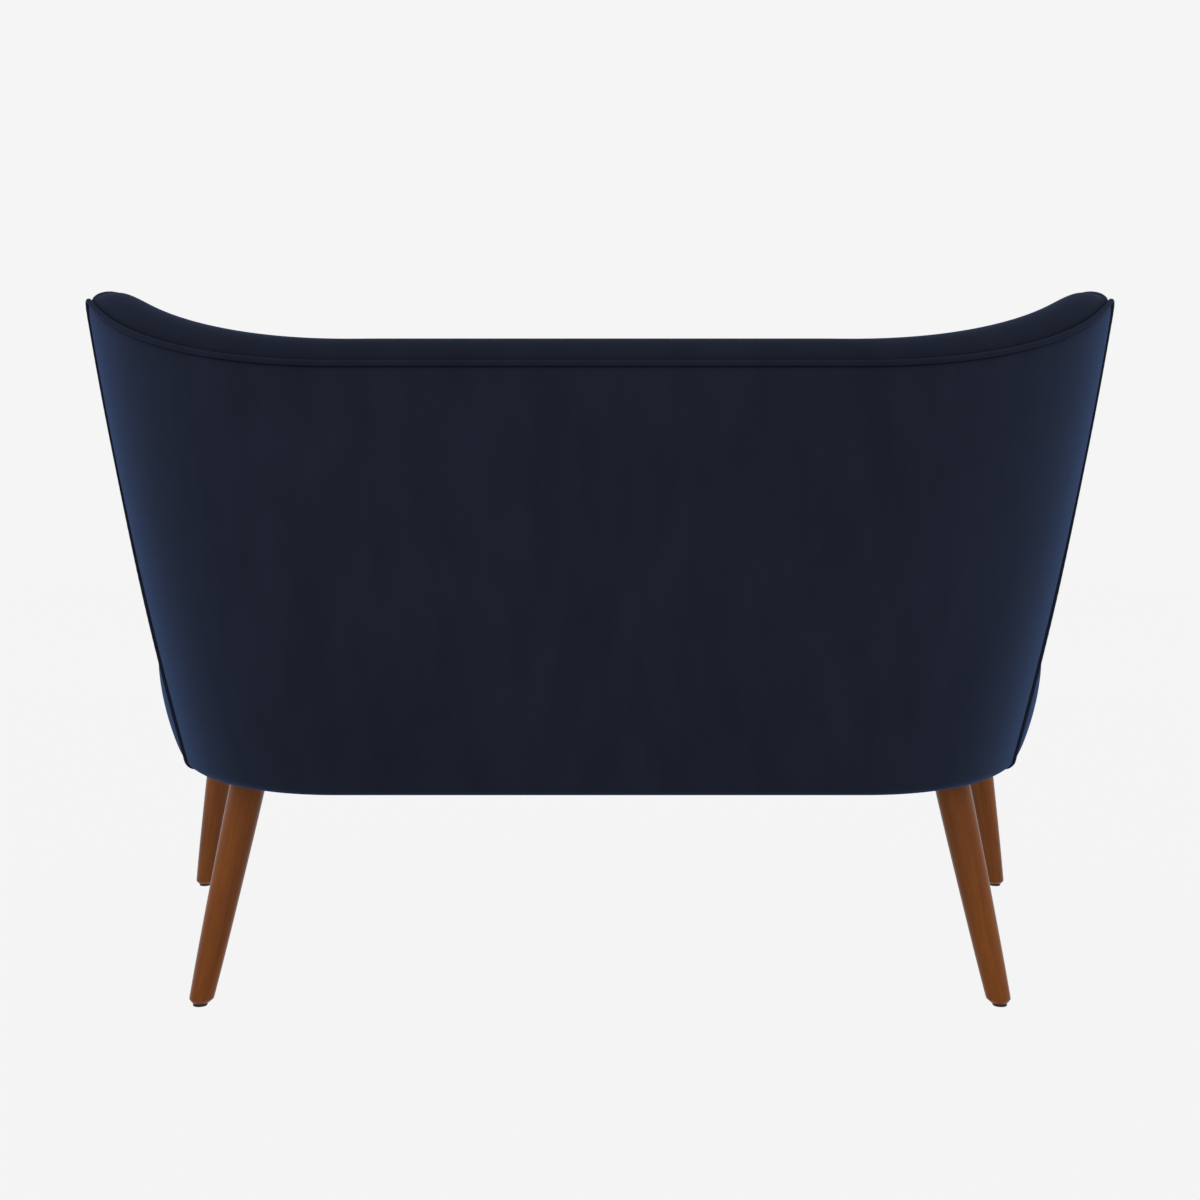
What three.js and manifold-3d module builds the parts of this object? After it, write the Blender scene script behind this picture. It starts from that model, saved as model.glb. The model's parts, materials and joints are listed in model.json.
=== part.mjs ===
// High back settee: a two-seat upholstered bench whose tall back flares forward into two wings.
// Millimetres. X runs along the settee, -Y is its front, +Z is up and the floor is z = 0.
// Plan points are (across, forward): forward is measured from the foot of the back towards the sitter.

import * as THREE from 'three';
import { mergeVertices } from 'three/addons/utils/BufferGeometryUtils.js';
import Module from 'manifold-3d';

const wasm = await Module();
wasm.setup();

const { degToRad, lerp, smoothstep } = THREE.MathUtils;
const quarterTurn = Math.PI / 2;

// Overall form
const underside = 255; // floor to the underside of the upholstery
const backEdgeHeight = 731.4; // floor to the top edge of the outside back, at its middle
const wingRise = 112.5; // how much higher that edge would end at the wings, if they had sharp corners
const wingTipRadius = 30; // rounding of the outside back's top corners
const backBulge = 8; // how far the outside back swells between its foot and its top edge
const underEdgeRadius = 12; // rounding where covers turn under the settee

// Plan curves of the shell: a straight middle, then an arc of an ellipse to the wing's front edge.
// The overhang is how far back a curve's straight middle stands from the foot's.
const foot = { flat: 300, across: 275, forward: 560, turnAngle: degToRad(50), overhang: 0 };
const head = { flat: 240, across: 462, forward: 570, turnAngle: degToRad(60), overhang: 85 };
const flatShare = 0.4; // the straight part of the half width
const riseStartShare = 0.44; // where the top edge starts to climb towards the wing
const risePower = 2.05; // how sharply it climbs

// Seat
const seatFront = 708; // forward place of the seat box's front, inside its padding
const sideSlope = 0.176; // the seat's sides spread by this much for each unit forward
const seatCornerRadius = 50;
const seatProud = { rear: 2, front: 12 }; // how far the padding stands outside the box
const seatThickness = 94.4; // deck to the seat's edge
const seatCrown = 17; // how much the middle of the seat stands above its edge
const seatTopRadius = 28;
const seatSideBulge = 6;
const seatLean = { rear: 0.22, front: 0.05 }; // outward lean of the seat's sides

// Upholstery
const coverThickness = 2.6;
const padFace = { middle: 90, wing: 58 }; // outside back to the face that the sitter leans on
const padThinsShare = 0.5; // where the pad starts to thin towards the wing
const topRoll = 34.5; // how far the back pad rolls up past the shell's top edge
const rollTaperShares = { from: 0.815, lost: 0.73 }; // what the top roll loses towards the wing's tip
const frontRoll = 42; // how far it rolls forward past the wing's front edge
const weltDiameter = 6.6;
const weltStartAngle = degToRad(20); // where the welt starts in the cover's turn under the settee
const dustCoverThickness = 1.4;
const strapThickness = 2.4;
const strapHeight = 52;
const strapShares = [0.14, 0.38, 0.67]; // middles of the back straps, between the deck and the back's edge
const insulatorThickness = 4;

// Timber
const railHeight = 70;
const railThickness = 28;
const frameThickness = 24; // posts and rails of the back, measured through it
const topRailHeight = 55;
const lumbarShare = 0.53; // middle of the lumbar rails, between the same heights
const lumbarDepth = 50;
const backPostShares = { middle: 0.36, width: 0.075 };
const wingPostShares = { from: 0.9, to: 0.955 };
const rearBlockShares = { from: 0.69, to: 0.965 };
const rearBlockReach = 108;
const frontBlock = { sideReach: 118, frontReach: 118, chamferReach: 62 };
const braceWidth = 60;
const braceHeight = 40;

// Springs
const springCount = 6;
const springSpacing = 160;
const springWire = 4;
const springWidth = 46;
const springWaves = 8;
const springBend = 5; // how far each bar of the spring leans back over its bend
const springEndInset = 10; // end of a spring to the inner edge of its rail

// Legs
const legTopRadius = 21.5;
const legFootRadius = 14.2;
const legChamfer = 5.5;
const splayAcross = 0.18; // outward lean of a leg for each unit of height
const splayForward = 0.21; // its lean towards the front, or the back, for each unit of height
const rearLegShare = 0.815; // where its top meets the shell's foot line
const rearLegInset = 43.5;
const frontLeg = { fromSide: 42, fromFront: 49 };
const glideRadius = 8.4;
const glideHeight = 3;
const shankRadius = 2.4;
const shankLength = 12;
const boltRadius = 4;
const boltInLeg = 45;
const boltAboveLeg = 11;
const boltHoleRadius = 9; // hole in a leg block round its leaning bolt
const plateRadius = 25;
const plateThickness = 2.5;
const plateHoleRadius = 5.4;

// Clearances
const gap = 0.3; // between pieces that touch
const layerGap = 0.7; // between the curved layers of the back, whose rows of facets differ
const jointShare = 6e-4; // gap at the upright joints of the back's timbers, as a share
const legClearance = 1.2; // round a leg where it goes through the dust cover

// Fineness of the faceted curves
const flatColumns = 2; // from the back's middle to the bend
const bendColumns = 8; // from there to the wing post
const shellRows = 8;
const turnSteps = 3; // in a cover's turn under the settee
const cornerSteps = 2; // across a rounded wing corner
const rollSteps = 4; // across the back pad's roll
const postRows = 6;
const railSteps = 10; // along a side rail's bend
const blockSteps = 4; // along a leg block's bend
const outlineSteps = [5, 14, 6, 6, 8]; // along the outline's back, bend, side, corner and front
const seatSideSteps = 4;
const seatCrownSteps = 4;
const legSides = 20;
const smallSides = 12;
const weltFacets = 6;
const springWaveSteps = 6;
const springFacets = 4;
const searchSteps = 24; // halvings of a share in a search along the shell
const smallShare = 1e-3; // step that measures the slopes of the shell

const overrun = 40; // how far a cutting solid passes what it cuts

// Heights that follow from these
const dustCoverTop = underside + dustCoverThickness;
const railBottom = dustCoverTop + gap;
const railTop = railBottom + railHeight;
const blockBottom = railBottom + plateThickness + gap;
const springMiddle = railTop + gap + springWire / 2;
const insulatorBottom = springMiddle + springWire / 2 + gap;
const deckTop = insulatorBottom + insulatorThickness + gap;
const seatEdgeHeight = deckTop + seatThickness;
const legTop = dustCoverTop;
const postFoot = railTop + gap;

// Insets from the outside of the shell, layer by layer
const frameInset = coverThickness + layerGap;
const strapInset = frameInset + frameThickness + layerGap;
const padInset = strapInset + strapThickness + layerGap;
const seatHollowInset = underEdgeRadius + coverThickness;
const dustCoverInset = seatHollowInset + layerGap;
const railInset = dustCoverInset + gap;
const railInnerInset = railInset + railThickness;

const materials = {
  velvet: { color: 0x232a40, roughness: 0.9, metalness: 0 },
  welt: { color: 0x1c2234, roughness: 0.85, metalness: 0 },
  dustCover: { color: 0x1a1a1c, roughness: 1, metalness: 0 },
  webbing: { color: 0xb9a67e, roughness: 0.95, metalness: 0 },
  felt: { color: 0x8d8a84, roughness: 1, metalness: 0 },
  timber: { color: 0xc8a878, roughness: 0.8, metalness: 0 },
  legWood: { color: 0x7a4523, roughness: 0.45, metalness: 0 },
  steel: { color: 0x9a9da0, roughness: 0.4, metalness: 1 },
  glide: { color: 0x141414, roughness: 0.6, metalness: 0 },
};

const settee = new THREE.Group();

function add(name, geometry, material) {
  const mesh = new THREE.Mesh(geometry, new THREE.MeshStandardMaterial(materials[material]));
  mesh.name = name;
  settee.add(mesh);
}

// Number and point helpers

const count = (n) => Array.from({ length: n }, (_, i) => i);
const spread = (from, to, steps) => count(steps + 1).map((i) => lerp(from, to, i / steps));
const point = (across, forward, height) => new THREE.Vector3(across, -forward, height);
const polar = (radius, angle) => new THREE.Vector2(radius * Math.cos(angle), radius * Math.sin(angle));
const mirrored = (p) => new THREE.Vector3(-p.x, p.y, p.z);
const sides = { left: -1, right: 1 };

// Geometry helpers

function fromTriangles(points, index) {
  const geometry = new THREE.BufferGeometry();
  const numbers = points.flatMap((p) => [p.x, p.y, p.z]);
  geometry.setAttribute('position', new THREE.Float32BufferAttribute(numbers, 3));
  geometry.setIndex(index);
  geometry.computeVertexNormals();
  return geometry;
}

// A closed solid between two like grids of points, rows of which run from left to right. Where
// the two grids meet they share their points. The diagonals of its left half mirror the right's.
function slab(outer, inner) {
  const rows = outer.length;
  const columns = outer[0].length;
  const points = [...outer.flat(), ...inner.flat()];
  const index = [];
  const out = (i, j) => i * columns + j;
  const back = (i, j) => {
    const k = out(i, j);
    return points[k].distanceTo(points[k + rows * columns]) < gap / columns ? k : k + rows * columns;
  };
  const quad = (...corners) => {
    for (const [a, b, c] of [[0, 1, 2], [0, 2, 3]].map((t) => t.map((k) => corners[k]))) {
      if (a !== b && b !== c && a !== c) index.push(a, b, c);
    }
  };
  for (const i of count(rows - 1)) {
    for (const j of count(columns - 1)) {
      const cell = [[i, j], [i + 1, j], [i + 1, j + 1], [i, j + 1]];
      if (j < (columns - 1) / 2) cell.unshift(cell.pop());
      quad(...cell.map((place) => out(...place)));
      const [first, ...others] = cell;
      quad(...[first, ...others.reverse()].map((place) => back(...place)));
    }
    quad(out(i, 0), back(i, 0), back(i + 1, 0), out(i + 1, 0));
    quad(out(i, columns - 1), out(i + 1, columns - 1), back(i + 1, columns - 1), back(i, columns - 1));
  }
  for (const j of count(columns - 1)) {
    quad(out(0, j), out(0, j + 1), back(0, j + 1), back(0, j));
    quad(out(rows - 1, j), back(rows - 1, j), back(rows - 1, j + 1), out(rows - 1, j + 1));
  }
  return fromTriangles(points, index);
}

// A solid through a stack of like rings, closed at both ends by a middle point
function stack(rings, bottomMiddle, topMiddle) {
  const size = rings[0].length;
  const points = [...rings.flat(), bottomMiddle, topMiddle];
  const index = [];
  for (const j of count(size)) {
    const next = (j + 1) % size;
    for (const i of count(rings.length - 1)) {
      const [a, b, c, d] = [i * size + j, i * size + next, (i + 1) * size + next, (i + 1) * size + j];
      index.push(a, b, c, a, c, d);
    }
    const last = (rings.length - 1) * size;
    index.push(next, j, points.length - 2);
    index.push(last + j, last + next, points.length - 1);
  }
  return fromTriangles(points, index);
}

// A plan outline raised from one height to another
function prism(shape, bottom, top) {
  const geometry = new THREE.ExtrudeGeometry(shape, { depth: top - bottom, bevelEnabled: false });
  return geometry.translate(0, 0, bottom);
}

const planShape = (points) => new THREE.Shape(points.map((p) => new THREE.Vector2(p.x, p.y)));

function toManifold(geometry) {
  const bare = geometry.clone();
  bare.deleteAttribute('normal');
  bare.deleteAttribute('uv');
  const merged = mergeVertices(bare);
  const vertProperties = new Float32Array(merged.attributes.position.array);
  const triVerts = new Uint32Array(merged.index.array);
  return new wasm.Manifold(new wasm.Mesh({ numProp: 3, vertProperties, triVerts }));
}

function cut(geometry, ...tools) {
  const solid = tools.reduce((rest, tool) => rest.subtract(toManifold(tool)), toManifold(geometry));
  const mesh = solid.getMesh();
  const result = new THREE.BufferGeometry();
  result.setAttribute('position', new THREE.Float32BufferAttribute(mesh.vertProperties, 3));
  result.setIndex([...mesh.triVerts]);
  result.computeVertexNormals();
  return result;
}

// A round bar through a row of places, each with a direction across the bar
function bar(places, radius, facets) {
  const rings = places.map(({ middle, across }, i) => {
    const [before, after] = [places[Math.max(i - 1, 0)], places[Math.min(i + 1, places.length - 1)]];
    const along = after.middle.clone().sub(before.middle).normalize();
    const arm = across.clone().projectOnPlane(along).setLength(radius);
    const turnOf = (k) => (2 * Math.PI * k) / facets;
    return count(facets).map((k) => arm.clone().applyAxisAngle(along, turnOf(k)).add(middle));
  });
  return stack(rings, places[0].middle, places.at(-1).middle);
}

// The shell: a ruled sheet from its foot to its top edge, with a slight swell

function planPoint(form, share) {
  const along = Math.abs(share);
  if (along <= flatShare) return new THREE.Vector2((form.flat * share) / flatShare, -form.overhang);
  const angle = (form.turnAngle * (along - flatShare)) / (1 - flatShare);
  const across = form.flat + form.across * Math.sin(angle);
  return new THREE.Vector2(Math.sign(share) * across, form.forward * (1 - Math.cos(angle)) - form.overhang);
}

function edgeHeight(share) {
  const climb = Math.max(0, (Math.min(Math.abs(share), 1) - riseStartShare) / (1 - riseStartShare));
  return backEdgeHeight + wingRise * climb ** risePower;
}

const riseAt = (share, height) => (height - underside) / (edgeHeight(share) - underside);

// A point of the shell, or at a level inset from it towards the sitter. The share runs from -1 at
// the left wing's front edge to 1 at the right one's, the rise from 0 at the foot to 1 at the top edge.
function shellPoint(share, rise, inset = 0) {
  const at = (s) => planPoint(foot, s).lerp(planPoint(head, s), rise);
  const tangent = at(share + smallShare).sub(at(share - smallShare)).normalize();
  const outward = 4 * backBulge * rise * (1 - rise) - inset;
  const spot = at(share);
  const height = lerp(underside, edgeHeight(share), rise);
  return point(spot.x + outward * tangent.y, spot.y - outward * tangent.x, height);
}

// A cover's turn under the settee, at an angle from its lowest line
const underTurn = (angle) => ({
  height: underside + underEdgeRadius * (1 - Math.cos(angle)),
  inset: underEdgeRadius * (1 - Math.sin(angle)),
});

// Length of the shell for a unit of share, beside the wing's front edge
function edgeLength(rise) {
  return shellPoint(1, rise).distanceTo(shellPoint(1 - smallShare, rise)) / smallShare;
}

// The shares at which every layer of the back has its facets' edges, between two others
function gridShares(from, to) {
  const bend = spread(flatShare, wingPostShares.from, bendColumns);
  const half = [...spread(0, flatShare, flatColumns), ...bend.slice(1), wingPostShares.to];
  const grid = [...half.slice(1).reverse().map((share) => -share), ...half];
  return [from, ...grid.filter((share) => share > from + smallShare && share < to - smallShare), to];
}

// Columns and rows of the sheets that end at the wings' fronts and at the top edge. Past 0 they
// cross the rounded corner, which ends at 1, and from 1 to 2 they cross the back pad's roll.
function pastLevels(withRoll) {
  const corner = spread(0, 1, cornerSteps);
  const roll = withRoll ? spread(1, 2, rollSteps).slice(1) : [];
  const step = withRoll ? [gap / wingTipRadius] : [];
  return [corner[0], ...step, ...corner.slice(1), ...roll];
}

function sheetColumns(withRoll) {
  const inside = gridShares(-1, 1).slice(1, -1).map((part) => ({ part, past: 0, step: true }));
  const ends = pastLevels(withRoll).map((past, i) => ({ part: 1, past, step: i === 0 }));
  const otherEnds = ends.map((column) => ({ ...column, part: -1 })).reverse();
  return [...otherEnds, ...inside, ...ends];
}

function sheetRows(withRoll) {
  const inside = spread(0, 1, shellRows).slice(0, -1).map((part) => ({ part, past: 0, step: true }));
  const ends = pastLevels(withRoll).map((past, i) => ({ part: 1, past, step: i === 0 }));
  return [...inside, ...ends];
}

// The share and rise of a column and row of such a sheet, whose first row is at the bottom height,
// with how far over the roll it is, from 0 to 1
function sheetPlace(column, row, bottom, { grown = 0, beyond = 0 } = {}) {
  const reach = Math.max(column.past, row.past);
  const diagonal = reach > 0 ? (Math.PI / 4) * (Math.min(column.past, row.past) / reach) : 0;
  const angle = column.past >= row.past ? diagonal : quarterTurn - diagonal;
  const over = Math.max(0, reach - 1);
  const late = Math.max(0, Math.abs(column.part) - rollTaperShares.from) / (1 - rollTaperShares.from);
  const upwardRoll = topRoll * (1 - rollTaperShares.lost * late ** 2);
  const roll = lerp(frontRoll, upwardRoll, angle / quarterTurn) + grown;
  const distance = Math.min(reach, 1) * wingTipRadius + roll * Math.sin(over * quarterTurn) + beyond;
  const length = edgeLength(lerp(riseAt(1, bottom), 1, row.part));
  const sideways = (column.past > 0 ? distance * Math.cos(angle) : 0) - wingTipRadius;
  const atEdge = Math.abs(column.part) === 1;
  const share = atEdge ? column.part * (1 + sideways / length) : column.part;
  const height = edgeHeight(share) - underside;
  const upwards = row.past > 0 ? distance * Math.sin(angle) : 0;
  const rise = lerp(riseAt(share, bottom), 1 - wingTipRadius / height, row.part) + upwards / height;
  return { share, rise, over };
}

// The outside back: one cover from its turn under the settee to the welt
function outsideBackCover() {
  const hem = { part: 0, past: 0 };
  const turn = spread(0, quarterTurn, turnSteps).slice(0, -1);
  const rows = [
    ...turn.map((angle) => ({ row: hem, ...underTurn(angle) })),
    ...sheetRows(false).map((row) => ({ row, ...underTurn(quarterTurn) })),
  ];
  const sheet = (depth) => rows.map(({ row, height, inset }) => sheetColumns(false).map((column) => {
    const { share, rise } = sheetPlace(column, row, height);
    return shellPoint(share, rise, inset + depth);
  }));
  return slab(sheet(0), sheet(coverThickness));
}

function padFaceAt(share) {
  return lerp(padFace.middle, padFace.wing, smoothstep(Math.abs(share), padThinsShare, 1));
}

// The back pad: it lies on the straps inside the frame, steps over the frame's edges and ends in a
// fat roll along the top and down the fronts of the wings
function backPad(grown = 0) {
  const columns = sheetColumns(true);
  const rows = sheetRows(true);
  const rollInset = weltDiameter / 2 + gap;
  const bottomOf = (column) => (column.past > 1 ? seatEdgeHeight + gap : deckTop) - grown;
  const backOf = (column, row) => {
    if (column.step && row.step) return padInset;
    return Math.max(column.past, row.past) < 1 ? frameInset : rollInset;
  };
  const sheet = (facing) => rows.map((row) => columns.map((column) => {
    const { share, rise, over } = sheetPlace(column, row, bottomOf(column), { grown });
    const back = backOf(column, row) - grown;
    const face = padFaceAt(share) + grown;
    const middle = (back + face) / 2;
    const half = ((face - back) / 2) * Math.cos(over * quarterTurn);
    return shellPoint(share, rise, middle + facing * half);
  }));
  return slab(sheet(-1), sheet(1));
}

// The welt follows the outside back's edge, up one wing, along the top and down the other
function weltCord() {
  const beyond = weltDiameter / 2 + gap;
  const spot = (column, row, { height, inset } = underTurn(quarterTurn)) => {
    const { share, rise } = sheetPlace(column, row, height, { beyond });
    const middle = shellPoint(share, rise, inset);
    return { middle, across: shellPoint(share, rise, inset + weltDiameter).sub(middle) };
  };
  const edge = { part: 1, past: 1 };
  const turn = spread(weltStartAngle, quarterTurn, turnSteps).slice(0, -1);
  const corner = spread(0, 1, cornerSteps);
  const half = [
    ...turn.map((angle) => spot(edge, { part: 0, past: 0 }, underTurn(angle))),
    ...spread(0, 1, shellRows).slice(0, -1).map((part) => spot(edge, { part, past: 0 })),
    ...corner.map((past) => spot(edge, { part: 1, past })),
    ...corner.slice(0, -1).reverse().map((past) => spot({ part: 1, past }, edge)),
    ...gridShares(0, 1).slice(0, -1).reverse().map((part) => spot({ part, past: 0 }, edge)),
  ];
  const otherHalf = half.slice(0, -1).reverse()
    .map(({ middle, across }) => ({ middle: mirrored(middle), across: mirrored(across) }));
  return bar([...half, ...otherHalf], weltDiameter / 2, weltFacets);
}

// Timbers and straps that follow the shell, between two shares, rises and insets
function strip({ shares, low, high, near, far, rows = 1 }) {
  const grid = (inset) => spread(0, 1, rows).map((part) => gridShares(...shares)
    .map((share) => shellPoint(share, lerp(low(share), high(share), part), inset)));
  return slab(grid(near), grid(far));
}

const level = (height) => (share) => riseAt(share, height);
const belowEdge = (depth) => (share) => 1 - depth / (edgeHeight(share) - underside);

function addBackFrame() {
  const timber = { near: frameInset, far: frameInset + frameThickness };
  const topRailTop = wingTipRadius + layerGap;
  const topRailFoot = topRailTop + topRailHeight;
  const rail = wingPostShares.from - jointShare;
  const postSides = [-1, 1].map((side) => backPostShares.middle + (side * backPostShares.width) / 2);
  add('top_rail', strip({
    ...timber, shares: [-rail, rail], low: belowEdge(topRailFoot), high: belowEdge(topRailTop),
  }), 'timber');
  const band = (share, width) => {
    const middle = lerp(deckTop, backEdgeHeight, share);
    return { low: level(middle - width / 2), high: level(middle + width / 2) };
  };
  const lumbar = { ...timber, ...band(lumbarShare, lumbarDepth) };
  const centre = postSides[0] - jointShare;
  add('lumbar_rail_centre', strip({ ...lumbar, shares: [-centre, centre] }), 'timber');
  for (const [name, side] of Object.entries(sides)) {
    const between = (a, b) => [side * a, side * b].sort((p, q) => p - q);
    const post = { ...timber, low: level(postFoot), rows: postRows };
    const wing = [wingPostShares.from, wingPostShares.to];
    const postTop = belowEdge(topRailFoot + gap);
    const backPost = { ...post, shares: between(...postSides), high: postTop };
    const wingPost = { ...post, shares: between(...wing), high: belowEdge(topRailTop) };
    const sideLumbar = { ...lumbar, shares: between(postSides[1] + jointShare, rail) };
    add(`back_post_${name}`, strip(backPost), 'timber');
    add(`wing_post_${name}`, strip(wingPost), 'timber');
    add(`lumbar_rail_${name}`, strip(sideLumbar), 'timber');
  }
  for (const [i, share] of strapShares.entries()) {
    add(`back_strap_${i + 1}`, strip({
      shares: [-wingPostShares.to, wingPostShares.to],
      ...band(share, strapHeight),
      near: strapInset,
      far: strapInset + strapThickness,
    }), 'webbing');
  }
}

// The seat box's outline in plan, right half, from the middle of the back to the middle of the front

const sideAngle = Math.atan(sideSlope);
const sideTurn = Math.atan2(foot.across, foot.forward * sideSlope);
const sideStart = planPoint(foot, flatShare + ((1 - flatShare) * sideTurn) / foot.turnAngle);
const boxCorner = new THREE.Vector2(sideStart.x + sideSlope * (seatFront - sideStart.y), seatFront);
const cornerTangent = seatCornerRadius * Math.tan((quarterTurn + sideAngle) / 2);
const cornerMiddle = new THREE.Vector2(boxCorner.x - cornerTangent, seatFront - seatCornerRadius);
const cornerStart = polar(seatCornerRadius, -sideAngle).add(cornerMiddle);
const bendEnd = sideTurn - quarterTurn;

const halfOutline = new THREE.Path()
  .moveTo(0, 0)
  .lineTo(foot.flat, 0)
  .absellipse(foot.flat, foot.forward, foot.across, foot.forward, -quarterTurn, bendEnd, false, 0)
  .lineTo(cornerStart.x, cornerStart.y)
  .absarc(cornerMiddle.x, cornerMiddle.y, seatCornerRadius, -sideAngle, quarterTurn, false)
  .lineTo(0, seatFront);

const outlineSpots = halfOutline.curves.flatMap((curve, i) => {
  const parts = spread(0, 1, outlineSteps[i]).slice(i === 0 ? 0 : 1);
  return parts.map((part) => {
    const tangent = curve.getTangent(part);
    return { spot: curve.getPoint(part), normal: new THREE.Vector2(tangent.y, -tangent.x) };
  });
});

// The whole outline at one height, from the middle of the back round by the left, moved outward
// by a distance that may depend on the place and its normal
function outlineRing(height, outward) {
  const half = outlineSpots
    .map(({ spot, normal }) => spot.clone().addScaledVector(normal, outward(spot, normal)));
  const left = half.map((p) => point(-p.x, p.y, height));
  const right = half.slice(1, -1).map((p) => point(p.x, p.y, height)).reverse();
  return [...left, ...right];
}

const outlineShape = (inset) => planShape(outlineRing(underside, () => -inset));

// The seat pad before it is fitted round the back pad: drawn-in foot, swelling sides, a rounded
// edge and a crowned top
function seatForm() {
  const straight = { from: underside + underEdgeRadius, to: seatEdgeHeight - seatTopRadius };
  const turnIn = spread(0, quarterTurn, turnSteps).slice(0, -1).map(underTurn);
  const flank = spread(0, 1, seatSideSteps).slice(0, -1).map((part) => ({
    height: lerp(straight.from, straight.to, part),
    inset: -seatSideBulge * Math.sin(Math.PI * part),
  }));
  const shoulder = spread(0, quarterTurn, turnSteps).map((angle) => ({
    height: straight.to + seatTopRadius * Math.sin(angle),
    inset: seatTopRadius * (1 - Math.cos(angle)),
  }));
  const wingFront = planPoint(foot, 1).y;
  const ring = ({ height, inset }) => outlineRing(height, (spot, normal) => {
    const ahead = Math.max(0, (spot.y - wingFront) / (seatFront - wingFront));
    const lean = lerp(seatLean.rear, seatLean.front, ahead) * Math.abs(normal.x);
    return lerp(seatProud.rear, seatProud.front, ahead) + lean * (height - underside) - inset;
  });
  const walls = [...turnIn, ...flank, ...shoulder].map(ring);
  const middle = seatFront / 2;
  const crown = point(0, middle, seatEdgeHeight + seatCrown);
  const top = spread(0, 1, seatCrownSteps).slice(1, -1).map((part) => walls.at(-1).map((p) => {
    const spot = p.clone().lerp(crown, part);
    return spot.setZ(seatEdgeHeight + seatCrown * (1 - (1 - part) ** 2));
  }));
  return stack([...walls, ...top], point(0, middle, underside), crown);
}

// The seat pad fits round the back pad and the wings' fronts, and is hollow below for the seat frame
function seatPad() {
  const ear = 1 + (weltDiameter + 2 * gap) / edgeLength(0);
  const heights = [underside - overrun, seatEdgeHeight + overrun];
  const behind = (insetAt) => heights.map((height) => gridShares(-ear, ear)
    .map((share) => shellPoint(share, riseAt(share, height), insetAt(share))));
  const zone = slab(behind(() => -overrun), behind((share) => (padInset + padFaceAt(share)) / 2));
  const hollow = prism(outlineShape(seatHollowInset), underside - overrun, deckTop);
  return cut(seatForm(), zone, backPad(gap), hollow);
}

// The seat frame

function sideSpot(forward, inset) {
  const curved = forward < sideStart.y;
  const down = 1 - forward / foot.forward;
  const across = curved
    ? foot.flat + foot.across * Math.sqrt(1 - down ** 2)
    : sideStart.x + sideSlope * (forward - sideStart.y);
  const slope = curved ? (foot.across * down) / (foot.forward * Math.sqrt(1 - down ** 2)) : sideSlope;
  const angle = Math.atan(slope);
  return new THREE.Vector2(across - inset * Math.cos(angle), forward + inset * Math.sin(angle));
}

// A rear leg block, which may be grown to clear it from its neighbours
function rearBlockForm(side, grown = 0) {
  const reach = grown / edgeLength(0);
  const ends = [side * (rearBlockShares.from - reach), side * (rearBlockShares.to + reach)];
  const shares = spread(Math.min(...ends), Math.max(...ends), blockSteps);
  const grid = (inset) => [blockBottom - grown, railTop + grown]
    .map((height) => shares.map((share) => shellPoint(share, riseAt(share, height), inset)));
  return slab(grid(railInset - grown), grid(railInset + rearBlockReach + grown));
}

// Turns a slab's grid of the right side into that of the left side
const otherSide = (grid) => grid.map((row) => row.map(mirrored).reverse());

function addSeatFrame() {
  const heights = [railBottom, railTop];
  const railEnd = rearBlockShares.from - jointShare;
  const railGrid = (inset) => heights.map((height) => gridShares(-railEnd, railEnd)
    .map((share) => shellPoint(share, riseAt(share, height), inset)));
  add('back_rail', slab(railGrid(railInset), railGrid(railInnerInset)), 'timber');

  const frontEnd = boxCorner.x - frontBlock.frontReach;
  const sideEnd = seatFront - frontBlock.sideReach * Math.cos(sideAngle);
  const front = { far: seatFront - railInset, near: seatFront - railInnerInset };
  add('front_rail', prism(planShape([
    point(-frontEnd + gap, front.near, 0), point(frontEnd - gap, front.near, 0),
    point(frontEnd - gap, front.far, 0), point(-frontEnd + gap, front.far, 0),
  ]), railBottom, railTop), 'timber');

  const sideFoot = planPoint(foot, rearBlockShares.to).y;
  const sideGrid = (inset) => heights.map((height) => spread(sideFoot, sideEnd - gap, railSteps)
    .map((forward) => sideSpot(forward, inset))
    .map((p) => point(p.x, p.y, height)));
  const [outer, inner] = [sideGrid(railInset), sideGrid(railInnerInset)];
  add('side_rail_right', cut(slab(outer, inner), rearBlockForm(1, gap)), 'timber');
  add('side_rail_left', cut(slab(otherSide(outer), otherSide(inner)), rearBlockForm(-1, gap)), 'timber');

  const brace = { rear: railInnerInset + gap, front: front.near - gap };
  add('centre_brace', prism(planShape([
    point(-braceWidth / 2, brace.rear, 0), point(braceWidth / 2, brace.rear, 0),
    point(braceWidth / 2, brace.front, 0), point(-braceWidth / 2, brace.front, 0),
  ]), railBottom, railBottom + braceHeight), 'timber');
}

// The springs run in waves from the back rail's top to the front rail's

function spring(across, rear, front) {
  const places = spread(0, 1, springWaves * springWaveSteps).map((part) => {
    const angle = 2 * Math.PI * springWaves * part;
    const swing = ((springWidth - springWire) / 2) * Math.cos(angle);
    const forward = lerp(rear, front, part) + springBend * Math.sin(2 * angle);
    return { middle: point(across + swing, forward, springMiddle), across: point(0, 0, 1) };
  });
  return bar(places, springWire / 2, springFacets);
}

// How far forward the back rail's inner edge is at a place across the settee
function innerEdgeAt(across) {
  const edge = count(searchSteps).reduce(([low, high]) => {
    const middle = (low + high) / 2;
    const spot = shellPoint(middle, riseAt(middle, railTop), railInnerInset);
    return spot.x < Math.abs(across) ? [middle, high] : [low, middle];
  }, [0, 1])[0];
  return -shellPoint(edge, riseAt(edge, railTop), railInnerInset).y;
}

function addSprings() {
  const front = seatFront - railInnerInset + springEndInset;
  for (const i of count(springCount)) {
    const across = (i - (springCount - 1) / 2) * springSpacing;
    const rear = innerEdgeAt(across) - springEndInset;
    add(`seat_spring_${i + 1}`, spring(across, rear, front), 'steel');
  }
  const insulator = prism(outlineShape(railInset), insulatorBottom, insulatorBottom + insulatorThickness);
  add('spring_insulator', insulator, 'felt');
}

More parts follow.
